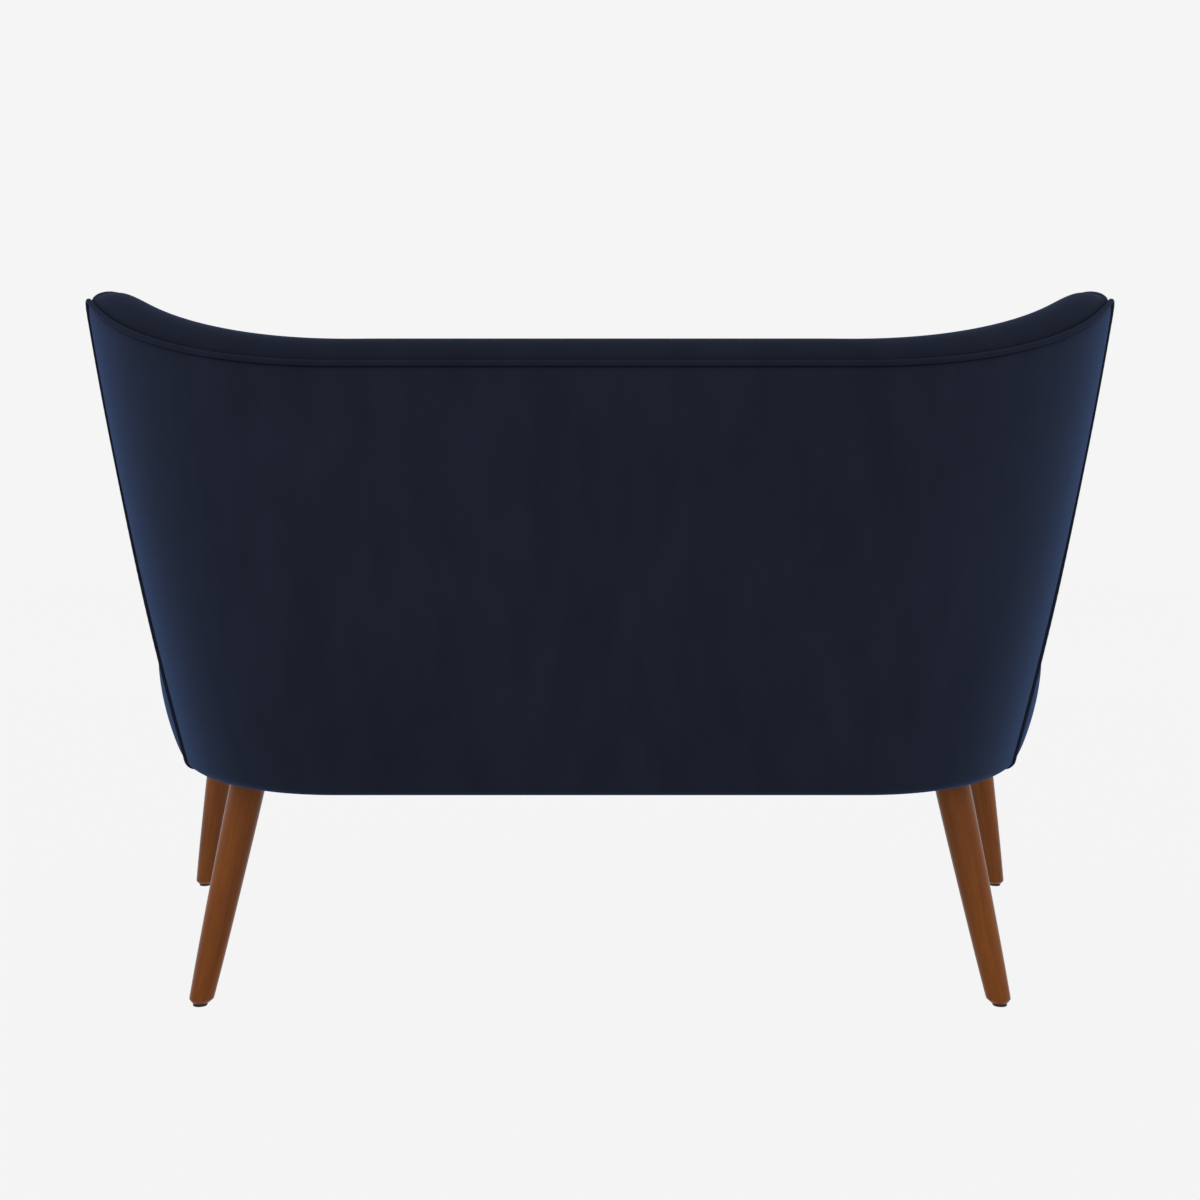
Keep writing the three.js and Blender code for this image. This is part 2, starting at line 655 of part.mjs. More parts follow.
// The legs. Each stands splayed, with every level section round, so both its ends are level.

function legPlaces() {
  const forward = seatFront - frontLeg.fromFront;
  const across = sideStart.x + sideSlope * (forward - sideStart.y) - frontLeg.fromSide / Math.cos(sideAngle);
  return Object.entries(sides).flatMap(([name, side]) => [
    { name: `rear_${name}`, side, ahead: -1, top: shellPoint(side * rearLegShare, 0, rearLegInset) },
    { name: `front_${name}`, side, ahead: 1, top: point(side * across, forward, underside) },
  ]);
}

// A revolved profile of (radius, height) pairs
function turned(profile, facets) {
  const geometry = new THREE.LatheGeometry(profile.map(([r, z]) => new THREE.Vector2(r, z)), facets);
  return geometry.rotateX(quarterTurn);
}

// Leans an upright piece about its place at the top of the leg
function leaned(geometry, { side, ahead, top }) {
  const [across, along] = [-side * splayAcross, ahead * splayForward];
  return geometry.applyMatrix4(new THREE.Matrix4().set(
    1, 0, across, top.x - across * legTop,
    0, 1, along, top.y - along * legTop,
    0, 0, 1, 0,
    0, 0, 0, 1,
  ));
}

function circle(radius, middle, facets = smallSides) {
  return planShape(count(facets).map((i) => polar(radius, (2 * Math.PI * i) / facets).add(middle)));
}

function leg(place) {
  const [bottom, boltEnd] = [glideHeight + gap, legTop - boltInLeg];
  return leaned(turned([
    [0, glideHeight + shankLength + gap],
    [shankRadius + gap, glideHeight + shankLength + gap],
    [shankRadius + gap, bottom],
    [legFootRadius - legChamfer, bottom],
    [legFootRadius, bottom + legChamfer],
    [legTopRadius, legTop],
    [boltRadius + gap, legTop],
    [boltRadius + gap, boltEnd - gap],
    [0, boltEnd - gap],
  ], legSides), place);
}

function glide(place) {
  const top = glideHeight + shankLength;
  const head = [[0, 0], [glideRadius, 0], [glideRadius, glideHeight]];
  const shank = [[shankRadius, glideHeight], [shankRadius, top], [0, top]];
  return leaned(turned([...head, ...shank], smallSides), place);
}

function hangerBolt(place) {
  const [bottom, top] = [legTop - boltInLeg, legTop + boltAboveLeg];
  return leaned(turned([[0, bottom], [boltRadius, bottom], [boltRadius, top], [0, top]], smallSides), place);
}

function legPlate({ top }) {
  const plate = circle(plateRadius, top);
  plate.holes.push(circle(plateHoleRadius, top));
  return prism(plate, railBottom, railBottom + plateThickness);
}

// A leg block with the hole for its bolt
function drilled(block, top) {
  return cut(block, prism(circle(boltHoleRadius, top), blockBottom - overrun, railTop + overrun));
}

const rearLegBlock = ({ side, top }) => drilled(rearBlockForm(side), top);

function frontLegBlock({ side, top }) {
  const sideFoot = polar(frontBlock.sideReach, -quarterTurn - sideAngle).add(boxCorner);
  const frontFoot = new THREE.Vector2(boxCorner.x - frontBlock.frontReach, seatFront);
  const inFromSide = (distance) => polar(-distance, -sideAngle).add(sideFoot);
  const inFromFront = (distance) => polar(-distance, quarterTurn).add(frontFoot);
  const outline = [
    inFromSide(railInset),
    ...spread(-sideAngle, quarterTurn, blockSteps)
      .map((angle) => polar(seatCornerRadius - railInset, angle).add(cornerMiddle)),
    inFromFront(railInset),
    inFromFront(frontBlock.chamferReach),
    inFromSide(frontBlock.chamferReach),
  ];
  const shape = planShape(outline.map((p) => point(side * p.x, p.y, underside)));
  return drilled(prism(shape, blockBottom, railTop), top);
}

function addLegs() {
  const places = legPlaces();
  for (const place of places) {
    add(`${place.name}_leg`, leg(place), 'legWood');
    add(`${place.name}_glide`, glide(place), 'glide');
    add(`${place.name}_hanger_bolt`, hangerBolt(place), 'steel');
    add(`${place.name}_leg_plate`, legPlate(place), 'steel');
    add(`${place.name}_leg_block`, place.ahead < 0 ? rearLegBlock(place) : frontLegBlock(place), 'timber');
  }
  const cover = outlineShape(dustCoverInset);
  cover.holes.push(...places.map(({ top }) => circle(legTopRadius + legClearance, top, legSides)));
  add('dust_cover', prism(cover, underside, dustCoverTop), 'dustCover');
}

addSeatFrame();
addBackFrame();
addSprings();
addLegs();
add('outside_back_cover', outsideBackCover(), 'velvet');
add('back_pad', backPad(), 'velvet');
add('seat_pad', seatPad(), 'velvet');
add('welt_cord', weltCord(), 'welt');

// The origin is on the floor, below the middle of the whole settee
const box = new THREE.Box3().setFromObject(settee);
settee.position.y = -(box.min.y + box.max.y) / 2;

export default settee;
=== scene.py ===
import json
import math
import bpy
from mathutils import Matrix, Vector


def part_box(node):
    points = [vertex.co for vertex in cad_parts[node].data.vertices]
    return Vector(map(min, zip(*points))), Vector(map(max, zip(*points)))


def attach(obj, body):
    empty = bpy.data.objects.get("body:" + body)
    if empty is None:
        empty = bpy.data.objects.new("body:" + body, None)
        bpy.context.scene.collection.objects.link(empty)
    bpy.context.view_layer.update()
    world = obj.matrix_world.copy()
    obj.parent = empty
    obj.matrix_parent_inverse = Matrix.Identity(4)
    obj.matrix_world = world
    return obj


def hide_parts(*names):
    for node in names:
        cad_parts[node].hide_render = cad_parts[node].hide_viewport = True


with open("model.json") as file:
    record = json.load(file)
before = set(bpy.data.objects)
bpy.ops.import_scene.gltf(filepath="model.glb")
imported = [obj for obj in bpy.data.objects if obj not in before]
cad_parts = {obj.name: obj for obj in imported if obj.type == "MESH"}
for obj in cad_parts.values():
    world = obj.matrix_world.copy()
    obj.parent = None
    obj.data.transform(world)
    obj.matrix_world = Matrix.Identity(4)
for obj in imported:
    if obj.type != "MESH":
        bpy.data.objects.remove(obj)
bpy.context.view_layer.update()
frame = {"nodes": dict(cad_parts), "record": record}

# High back settee in dark velvet: two seats, a tall back that flares forward into wings, a corded
# seam round the outside back and four splayed legs. The camera stands behind it.
#
# The forms are worked out in millimetres, as (across, -forward, height) from the foot of the back,
# and go into the frame's metres when a piece is made. A Form groups the values of one feature.

from types import SimpleNamespace as Form

import bmesh
import bpy
import numpy as np
from mathutils.bvhtree import BVHTree

# The back is a shell. A share along it runs from -1 to 1, wing to wing, and a rise from 0 at its
# foot to 1 at its edge. Foot and head are plan curves: a straight middle, then part of an ellipse.
UNDERSIDE = 255
BACK_EDGE_HEIGHT = 731.4
WING_RISE = 112.5
WING_TIP_RADIUS = 34
BACK_BULGE = 8
UNDER_EDGE_RADIUS = 12  # of the covers' turn under the settee
FOOT = Form(flat=300, across=275, forward=560, turn=math.radians(50), setback=0)
HEAD = Form(flat=240, across=462, forward=570, turn=math.radians(60), setback=-85)
FLAT_SHARE = 0.4  # where the straight middle ends
RISE_START_SHARE = 0.44  # where the edge starts to climb towards the wings
RISE_POWER = 2.03

# Seat
SEAT_FRONT = 708
SIDE_SLOPE = 0.176  # how much the seat widens for a length forward
SEAT_CORNER_RADIUS = 50
SEAT_PROUD = Form(rear=1.5, front=12)  # how far its sides stand out beyond the plan
SEAT_EDGE_HEIGHT = 430
SEAT_CROWN = 17
SEAT_TOP_RADIUS = 28
SEAT_SIDE_BULGE = Form(rear=4, front=6)
SEAT_LEAN = Form(rear=0.25, front=0.05)  # outward, for a length upward
SEAT_TAKEN_IN = 2.5  # how much smaller the seat is before its filling swells it
SEAT_SWELL = 7  # the furthest that the filling moves a point of it
SEAT_VOXEL = 7
SEAT_SMOOTHING = 4
SEAT_HEM_DROP = 6.5  # remeshing frays the hem, so it starts this much lower
SEAT_HEM_LEFT = 0.12  # and is then pressed to this share of what hangs below the underside
SEAT_EAR_OVERLAP = 5.5  # the seat reaches this far over the welt in front of the wings
# Numbers of steps of the seat's side and top, its plan, and the solid that fits it round the back
SEAT_STEPS = Form(hem=8, side=24, edge=12, top=40)
PLAN_STEPS = Form(back=30, bend=70, side=30, corner=14, front=60)
CUT_STEPS = Form(across=158, up=10)

# Back
COVER_THICKNESS = 2.6
PAD_FACE = Form(middle=90, wing=58, narrows=0.5)  # its inset, and the share where it narrows
PAD_SWELL = 7
PAD_FREE_ABOVE_SEAT = 55  # the filling moves the pad freely from this far above the seat
# Rows and columns of the sheets, with those past the start of the rounded corner
COVER_GRID = Form(columns=230, rows=90, hem=10)
COVER_PAST = np.concatenate([np.linspace(0, 0.66, 8), np.linspace(0.7, 1, 10)])
PAD_GRID = Form(columns=150, rows=42)
PAD_PAST = np.concatenate([[0, 0.01], np.linspace(0.25, 1, 4), np.linspace(1, 2, 13)[1:]])
TOP_ROLL = 34.5
ROLL_TAPER = Form(start=0.86, lost=0.56, power=3)  # it loses this share of its size to the tips
FRONT_ROLL = 36
ROLL_TURN = Form(power=0.35, gentle=0.45)  # how the roll takes on the top's size round the corner
FRAME_INSET = 3.3
PAD_INSET = 32.5
DECK_TOP = 335.6
WELT_RADIUS = 3.3
# Up the wing's front the cord lies flatter: it slims to a share of its radius between two heights
WELT_SLIM = Form(left=0.62, start=0.3, end=0.7)
WELT_START = Form(angle=math.radians(20), steps=8)
WELT_TUCK = Form(length=14, least=0.02)  # its tapered ends
WELT_LUMPS = (Form(depth=0.02, length=11), Form(depth=0.01, length=4.3))
WELT_GRID = Form(up=170, turn=9, along=260, facets=14)
# The outside back turns in towards the welt. Its inner face follows by a share of that.
SEAM = Form(width=5, depth=1.6, round=0.96, inner_share=0.2)

# Filling of the seat and the back pad, as a cloth under pressure. A hold gives the distance from a
# neighbour up to which the cloth is held, and the one where it is free.
FILLING = Form(pressure=4, frames=20, quality=5, mass=0.25, stretch=12, shear=6, bending=0.8)
SEAT_HOLD = {"frame": Form(full=3, free=14), "covers": Form(full=3, free=22)}
PAD_HOLD = {"seam": Form(full=75, free=115), "cover": Form(full=31, free=45)}

# Legs
LEG_TOP_RADIUS = 21.5
LEG_FOOT_RADIUS = 14.2
LEG_SWELL = Form(out=0.9, power=3)  # the middle of a leg stands out beyond its straight taper
LEG_CHAMFER = 4.7
# Points that soften the chamfer's two edges, as (further out, further up)
CHAMFER_FOOT = ((-0.6, 0), (0, 0.15), (0.5, 0.6))
CHAMFER_TOP = ((-0.6, -0.5), (-0.1, 0.2))
LEG_LEVELS = np.linspace(0.01, 1, 40)
LEG_TOP = 256.4
SPLAY_ACROSS = 0.18
SPLAY_FORWARD = 0.21
GLIDE_RADIUS = 8.4
GLIDE_HEIGHT = 3
GLIDE_BEVEL = Form(foot=1.2, top=0.5)
TURNED_FACETS = Form(leg=64, glide=40)
GRAIN_SHIFT = 3  # of each leg's wood grain, for a length across, so that no two are alike

# The camera stands behind the settee, level: metres from the back's foot and from the floor
CAMERA = Form(distance=1.875, height=0.565, lens=50, sensor=36, shift=-0.0656)

# Floor, backdrop and light, in metres and watts
PALE = (0.913, 0.913, 0.913)
FLOOR_REACH = 14
FLOOR_SHOWN = 0.985  # share of the plain pale tone in what the camera sees of the floor
AMBIENT = 0.62
LAMP_TARGET = (0, 0, 0.45)
LAMPS = {
    "left_softbox": Form(spot=(3.2, 1.6, 1.4), size=1.8, power=41),
    "right_softbox": Form(spot=(-3.2, 1.6, 1.4), size=1.8, power=48),
    "top_softbox": Form(spot=(0, 1.4, 3.2), size=2.6, power=5),
    "front_softbox": Form(spot=(0, -3.6, 1.8), size=2.4, power=20),
}

# Velvet of the outside back and the seat, and a copy with less sheen for the back pad and the cord,
# whose darker pile is painted shade on the roll and the cord
COVER_PILE = {"dark": (0.0190, 0.0232, 0.0408), "light": (0.0236, 0.0286, 0.0493)}
SHADED_PILE = {"dark": (0.0166, 0.0208, 0.0372), "light": (0.0206, 0.0257, 0.0450)}
SHEEN = Form(cover=0.36, pad=0.10, cord=0.14)
SHEEN_TINT = (0.18, 0.40, 1.0, 1.0)

GAP = 0.3  # between pieces that touch
CUT_PAST = 45  # how far a cutting solid passes what it cuts
STEP_SHARE = 1e-4  # width of the step between a cutting solid's wall and its ears
CLEAR_REACH = 20  # a point further inside a neighbour than this is left alone
JOIN = 1e-5  # metres within which a mesh's points are one
SMALL = 1e-3
MM = 0.001

# The foot of the back in the frame, from the rail that lies this far behind the seat's front
RAIL_INSET = 15.6
ORIGIN_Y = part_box("front_rail")[0].y + (SEAT_FRONT - RAIL_INSET) * MM


# Points

def lerp(a, b, part):
    return a + (b - a) * part


def smoothstep(value, low, high):
    part = np.clip((value - low) / (high - low), 0, 1)
    return part * part * (3 - 2 * part)


def plan(form, share):
    """Across and forward of a plan curve."""
    along = np.abs(share)
    angle = form.turn * np.maximum(along - FLAT_SHARE, 0) / (1 - FLAT_SHARE)
    across = form.flat * np.minimum(along / FLAT_SHARE, 1) + form.across * np.sin(angle)
    forward = form.setback + form.forward * (1 - np.cos(angle))
    return np.stack([np.sign(share) * across, forward], -1)


def edge_height(share):
    past = np.minimum(np.abs(share), 1) - RISE_START_SHARE
    climb = np.maximum(0, past / (1 - RISE_START_SHARE))
    return BACK_EDGE_HEIGHT + WING_RISE * climb ** RISE_POWER


def rise_at(share, height):
    return (height - UNDERSIDE) / (edge_height(share) - UNDERSIDE)


def shell(share, rise, inset=0.0):
    """Points of the shell, or at a level inset from it towards the sitter."""
    share, rise, inset = np.broadcast_arrays(np.asarray(share, float), rise, inset)

    def at(s):
        return lerp(plan(FOOT, s), plan(HEAD, s), rise[..., None])

    tangent = at(share + SMALL) - at(share - SMALL)
    tangent /= np.linalg.norm(tangent, axis=-1, keepdims=True)
    outward = 4 * BACK_BULGE * rise * (1 - rise) - inset
    spot = at(share)
    across = spot[..., 0] + outward * tangent[..., 1]
    forward = spot[..., 1] - outward * tangent[..., 0]
    return np.stack([across, -forward, lerp(UNDERSIDE, edge_height(share), rise)], -1)


def edge_length(rise):
    """Length of the shell for a unit of share, beside the wing's front edge."""
    return np.linalg.norm(shell(1.0, rise) - shell(1 - SMALL, rise), axis=-1) / SMALL


def under_turn(angle):
    """Height and inset at an angle of a cover's turn under the settee."""
    height = UNDERSIDE + UNDER_EDGE_RADIUS * (1 - np.cos(angle))
    return height, UNDER_EDGE_RADIUS * (1 - np.sin(angle))


def roll_size(part, angle):
    """The roll's size at an angle round the wing's corner, from its front (0) to its top."""
    late = np.maximum(0, np.abs(part) - ROLL_TAPER.start) / (1 - ROLL_TAPER.start)
    upward = TOP_ROLL * (1 - ROLL_TAPER.lost * late ** ROLL_TAPER.power)
    turned_by = angle / (math.pi / 2)
    taken_on = turned_by ** ROLL_TURN.power * smoothstep(turned_by, 0, ROLL_TURN.gentle)
    return lerp(FRONT_ROLL, upward, taken_on)


def sheet_place(part, side_past, row, row_past, bottom, beyond=0.0):
    """Share, rise and place over the roll, for columns and rows of a sheet of the back. Past 0 they
    cross the rounded corner, which ends at 1, and from 1 to 2 they cross the back pad's roll."""
    reach = np.maximum(side_past, row_past)
    near = np.minimum(side_past, row_past)
    diagonal = math.pi / 4 * near / np.maximum(reach, SMALL)
    angle = np.where(side_past >= row_past, diagonal, math.pi / 2 - diagonal)
    over = np.maximum(0, reach - 1)
    roll = roll_size(part, angle)
    distance = np.minimum(reach, 1) * WING_TIP_RADIUS + roll * np.sin(over * math.pi / 2) + beyond
    length = edge_length(lerp(rise_at(1.0, bottom), 1.0, row))
    sideways = np.where(side_past > 0, distance * np.cos(angle), 0) - WING_TIP_RADIUS
    share = part * (1 + sideways / length)
    height = edge_height(share) - UNDERSIDE
    upwards = np.where(row_past > 0, distance * np.sin(angle), 0)
    rise = lerp(rise_at(share, bottom), 1 - WING_TIP_RADIUS / height, row) + upwards / height
    return share, rise, over


def sheet_grid(grid, past):
    """The columns' and rows' places: (part, side_past, row, row_past), each a whole grid."""
    inside = np.linspace(-1, 1, grid.columns)
    part = np.concatenate([-np.ones(len(past) - 1), inside, np.ones(len(past) - 1)])
    side_past = np.concatenate([past[:0:-1], np.zeros(grid.columns), past[1:]])
    row = np.concatenate([np.linspace(0, 1, grid.rows), np.ones(len(past) - 1)])
    row_past = np.concatenate([np.zeros(grid.rows), past[1:]])
    row, part = np.meshgrid(row, part, indexing="ij")
    row_past, side_past = np.meshgrid(row_past, side_past, indexing="ij")
    return part, side_past, row, row_past


def pad_face(share):
    return lerp(PAD_FACE.middle, PAD_FACE.wing, smoothstep(np.abs(share), PAD_FACE.narrows, 1))


# Meshes

def make_piece(name, points, faces):
    """A smooth shaded object from points in millimetres, its close points joined."""
    mesh = bpy.data.meshes.new(name)
    placed = np.asarray(points, float).reshape(-1, 3) * MM + [0, ORIGIN_Y, 0]
    mesh.from_pydata(placed.tolist(), [], [[int(i) for i in face] for face in faces])
    work = bmesh.new()
    work.from_mesh(mesh)
    bmesh.ops.remove_doubles(work, verts=work.verts, dist=JOIN)
    bmesh.ops.dissolve_degenerate(work, edges=work.edges, dist=JOIN / 10)
    bmesh.ops.recalc_face_normals(work, faces=work.faces)
    work.to_mesh(mesh)
    work.free()
    mesh.shade_smooth()
    piece = bpy.data.objects.new(name, mesh)
    bpy.context.scene.collection.objects.link(piece)
    return piece


def ribbon(a, b):
    """Faces between two like rows of points."""
    return np.stack([a[:-1], a[1:], b[1:], b[:-1]], -1)


def slab_faces(rows, columns):
    """Faces of a closed solid between two like grids of points."""
    front = np.arange(rows * columns).reshape(rows, columns)
    rear = front + rows * columns
    cells = [np.concatenate([ribbon(grid[i], grid[i + 1]) for i in range(rows - 1)])
             for grid in (front, rear)]
    borders = [ribbon(front[0], rear[0]), ribbon(front[-1], rear[-1]),
               ribbon(front[:, 0], rear[:, 0]), ribbon(front[:, -1], rear[:, -1])]
    return np.concatenate([*cells, *borders])


def make_slab(name, outer, inner):
    points = np.concatenate([outer.reshape(-1, 3), inner.reshape(-1, 3)])
    return make_piece(name, points, slab_faces(*outer.shape[:2]))


def make_stack(name, rings, bottom, top):
    """A solid through a stack of like rings, closed at both ends by a middle point."""
    count, size = rings.shape[:2]
    index = np.arange(count * size).reshape(count, size)
    closed = np.concatenate([index, index[:, :1]], 1)
    walls = [list(f) for i in range(count - 1) for f in ribbon(closed[i], closed[i + 1])]
    floor = [[a, b, count * size] for a, b in zip(closed[0][:-1], closed[0][1:])]
    lid = [[a, b, count * size + 1] for a, b in zip(closed[-1][:-1], closed[-1][1:])]
    points = np.concatenate([rings.reshape(-1, 3), [bottom, top]])
    return make_piece(name, points, walls + floor + lid)


def make_tube(name, middles, across, radius, facets):
    """A round bar along a row of places, each with a direction across the bar."""
    along = np.gradient(middles, axis=0)
    along /= np.linalg.norm(along, axis=1, keepdims=True)
    across = across - (across * along).sum(1, keepdims=True) * along
    across /= np.linalg.norm(across, axis=1, keepdims=True)
    other = np.cross(along, across)
    turn = np.linspace(0, 2 * math.pi, facets, endpoint=False)[None, :, None]
    radius = np.broadcast_to(radius, len(middles))[:, None, None]
    outward = np.cos(turn) * across[:, None] + np.sin(turn) * other[:, None]
    rings = middles[:, None] + radius * outward
    return make_stack(name, rings, middles[0], middles[-1])


# Shader nodes

def node(tree, kind, inputs=None, **settings):
    made = tree.nodes.new("ShaderNode" + kind)
    for key, value in settings.items():
        setattr(made, key, value)
    for key, value in (inputs or {}).items():
        if isinstance(value, bpy.types.NodeSocket):
            tree.links.new(value, made.inputs[key])
        else:
            made.inputs[key].default_value = value
    return made


def new_material(name, **fixed):
    """A material with its tree, its surface shader and the place on the object."""
    material = bpy.data.materials.new(name)
    material.use_nodes = True
    tree = material.node_tree
    surface = tree.nodes["Principled BSDF"]
    for key, value in fixed.items():
        surface.inputs[key.replace("_", " ")].default_value = value
    return material, tree, surface, node(tree, "TexCoord").outputs["Object"]


def stretched(tree, place, scale):
    return node(tree, "Mapping", {"Vector": place, "Scale": scale}).outputs["Vector"]


def noise(tree, place, scale, detail=3.0, roughness=0.5):
    inputs = {"Vector": place, "Scale": scale, "Detail": detail, "Roughness": roughness}
    return node(tree, "TexNoise", inputs).outputs["Fac"]


def ramp(tree, value, *stops):
    made = node(tree, "ValToRGB", {"Fac": value})
    elements = made.color_ramp.elements
    while len(elements) < len(stops):
        elements.new(0.5)
    for element, (position, colour) in zip(elements, stops):
        element.position = position
        element.color = (*colour, 1) if len(colour) == 3 else colour
    return made.outputs["Color"]


def grey(tree, value, low, high):
    return ramp(tree, value, (0.3, (low,) * 3), (0.7, (high,) * 3))


def multiply(tree, a, b):
    made = node(tree, "Mix", data_type="RGBA", blend_type="MULTIPLY")
    made.inputs[0].default_value = 1
    tree.links.new(a, made.inputs[6])
    tree.links.new(b, made.inputs[7])
    return made.outputs[2]


def emboss(tree, surface, *layers):
    """Bump from (height, depth in millimetres, strength) layers, one on another."""
    normal = None
    for height, depth, strength in layers:
        inputs = {"Height": height, "Distance": depth * MM, "Strength": strength}
        if normal is not None:
            inputs["Normal"] = normal
        normal = node(tree, "Bump", inputs).outputs["Normal"]
    tree.links.new(normal, surface.inputs["Normal"])


def shade(tree, surface, colour, roughness=None):
    tree.links.new(colour, surface.inputs["Base Color"])
    if roughness is not None:
        tree.links.new(roughness, surface.inputs["Roughness"])


def velvet(name, dark, light, sheen):
    """Short pile: brushed streaks in the nap, fine fibres and a cool sheen at grazing angles."""
    material, tree, surface, place = new_material(
        name, Specular_IOR_Level=0.05, Sheen_Weight=sheen, Sheen_Roughness=0.35,
        Sheen_Tint=SHEEN_TINT)
    streaks = noise(tree, stretched(tree, place, (26, 26, 7)), 1, 4, 0.55)
    clouds = noise(tree, place, 5.5, 2)
    fibres = noise(tree, place, 1500, 2, 0.7)
    brushed = ramp(tree, streaks, (0.32, dark), (0.68, light))
    nap = multiply(tree, brushed, grey(tree, clouds, 0.93, 1.0))
    shade(tree, surface, multiply(tree, nap, grey(tree, fibres, 0.82, 1.0)),
          grey(tree, streaks, 0.86, 0.98))
    emboss(tree, surface, (streaks, 1.2, 0.12), (fibres, 0.25, 0.35))
    return material


def stained_wood(name):
    """Turned hardwood with a reddish stain under satin lacquer. Its grain runs up each leg."""
    material, tree, surface, _ = new_material(name, Specular_IOR_Level=0.22)
    grain = node(tree, "Attribute", attribute_name="grain").outputs["Vector"]
    bands = noise(tree, stretched(tree, grain, (70, 70, 5)), 1, 5, 0.62)
    pores = noise(tree, stretched(tree, grain, (900, 900, 28)), 1, 2, 0.6)
    broad = noise(tree, stretched(tree, grain, (9, 9, 3)), 1, 2)
    stain = ramp(tree, bands, (0.25, (0.215, 0.052, 0.0035)), (0.5, (0.300, 0.079, 0.0055)),
                 (0.75, (0.380, 0.110, 0.0095)))
    toned = multiply(tree, stain, grey(tree, broad, 0.86, 1.0))
    shade(tree, surface, multiply(tree, toned, grey(tree, pores, 0.8, 1.0)),
          grey(tree, bands, 0.28, 0.38))
    emboss(tree, surface, (bands, 0.2, 0.12), (pores, 0.08, 0.25))
    return material


def raw_timber(name):
    material, tree, surface, place = new_material(name, Specular_IOR_Level=0.25)
    rings = noise(tree, stretched(tree, place, (6, 60, 60)), 1, 5, 0.6)
    fibres = noise(tree, stretched(tree, place, (40, 900, 900)), 1, 2)
    sawn = noise(tree, stretched(tree, place, (420, 20, 20)), 1, 1)
    board = ramp(tree, rings, (0.3, (0.42, 0.27, 0.14)), (0.6, (0.6, 0.42, 0.24)),
                 (0.8, (0.5, 0.33, 0.18)))
    shade(tree, surface, multiply(tree, board, grey(tree, fibres, 0.8, 1.0)),
          grey(tree, fibres, 0.7, 0.85))
    emboss(tree, surface, (sawn, 0.3, 0.2), (fibres, 0.15, 0.3))
    return material


def woven_strap(name):
    material, tree, surface, place = new_material(name, Specular_IOR_Level=0.1)
    warp = node(tree, "TexWave", {"Vector": place, "Scale": 120, "Distortion": 0.4},
                bands_direction="Z").outputs["Fac"]
    weft = node(tree, "TexWave", {"Vector": place, "Scale": 150, "Distortion": 0.4},
                bands_direction="X").outputs["Fac"]
    hairs = noise(tree, place, 500, 3)
    weave = multiply(tree, grey(tree, warp, 0.6, 1.0), grey(tree, weft, 0.75, 1.0))
    jute = ramp(tree, hairs, (0.3, (0.36, 0.27, 0.15)), (0.7, (0.56, 0.45, 0.28)))
    shade(tree, surface, multiply(tree, jute, weave), grey(tree, hairs, 0.85, 1.0))
    emboss(tree, surface, (warp, 0.8, 0.5), (weft, 0.6, 0.4))
    return material


def felted(name, dark, light):
    """Matted fibres, for the felt sheet and the thin lining."""
    material, tree, surface, place = new_material(name, Specular_IOR_Level=0.1, Sheen_Weight=0.1)
    tufts = noise(tree, place, 60, 5, 0.7)
    hairs = noise(tree, place, 700, 3, 0.7)
    mat = multiply(tree, ramp(tree, tufts, (0.3, dark), (0.7, light)), grey(tree, hairs, 0.75, 1.0))
    shade(tree, surface, mat, grey(tree, tufts, 0.88, 1.0))
    emboss(tree, surface, (tufts, 0.5, 0.25), (hairs, 0.2, 0.4))
    return material


def zinc(name):
    material, tree, surface, place = new_material(name, Metallic=1.0)
    spangle = noise(tree, place, 130, 3)
    drawn = noise(tree, stretched(tree, place, (900, 90, 900)), 1, 2)
    shade(tree, surface, ramp(tree, spangle, (0.3, (0.5, 0.52, 0.54)), (0.7, (0.66, 0.67, 0.68))),
          grey(tree, drawn, 0.28, 0.45))
    emboss(tree, surface, (drawn, 0.05, 0.2))
    return material


def moulded_plastic(name):
    material, tree, surface, place = new_material(name, Specular_IOR_Level=0.35)
    scuffs = noise(tree, place, 220, 4, 0.7)
    black = ramp(tree, scuffs, (0.3, (0.011, 0.011, 0.012)), (0.7, (0.022, 0.022, 0.023)))
    shade(tree, surface, black, grey(tree, scuffs, 0.45, 0.7))
    emboss(tree, surface, (scuffs, 0.1, 0.2))
    return material


def dress(piece, material):
    piece.data.materials.clear()
    piece.data.materials.append(material)


def settle(piece, slot, material, *nodes):
    """The piece takes its finish, hides the CAD nodes that it replaces and rides on the only body.
    """
    dress(piece, material)
    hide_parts(*nodes)
    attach(piece, "root")


# Soft pieces

def fill_cloth(piece):
    """A cloth on the piece, held where its group says so, under the pressure of its filling."""
    cloth = piece.modifiers.new("Filling", "CLOTH")
    cloth.settings.quality = FILLING.quality
    cloth.settings.mass = FILLING.mass
    cloth.settings.tension_stiffness = FILLING.stretch
    cloth.settings.compression_stiffness = FILLING.stretch
    cloth.settings.shear_stiffness = FILLING.shear
    cloth.settings.bending_stiffness = FILLING.bending
    cloth.settings.use_pressure = True
    cloth.settings.uniform_pressure_force = FILLING.pressure
    cloth.settings.vertex_group_mass = "held"
    cloth.settings.effector_weights.gravity = 0
    cloth.point_cache.frame_start = 1
    cloth.point_cache.frame_end = FILLING.frames
    return cloth


def swell(piece, pinned, cap):
    """Fills a soft piece, which is held at its pinned points. No point moves further than the cap,
    in millimetres."""
    rest = coordinates(piece)
    held = piece.vertex_groups.new(name="held")
    weights = pinned.round(2)
    for weight in np.unique(weights):
        held.add(np.flatnonzero(weights == weight).tolist(), float(weight), "REPLACE")
    cloth = fill_cloth(piece)
    for step in range(1, FILLING.frames + 1):
        bpy.context.scene.frame_set(step)
    swollen = coordinates(evaluated(piece))
    piece.modifiers.remove(cloth)
    piece.vertex_groups.remove(held)
    bpy.context.scene.frame_set(1)
    move = swollen - rest
    far = np.linalg.norm(move, axis=1, keepdims=True)
    limit = cap * MM
    place(piece, rest + move * (limit * np.tanh(far / limit) / np.maximum(far, 1e-9)))


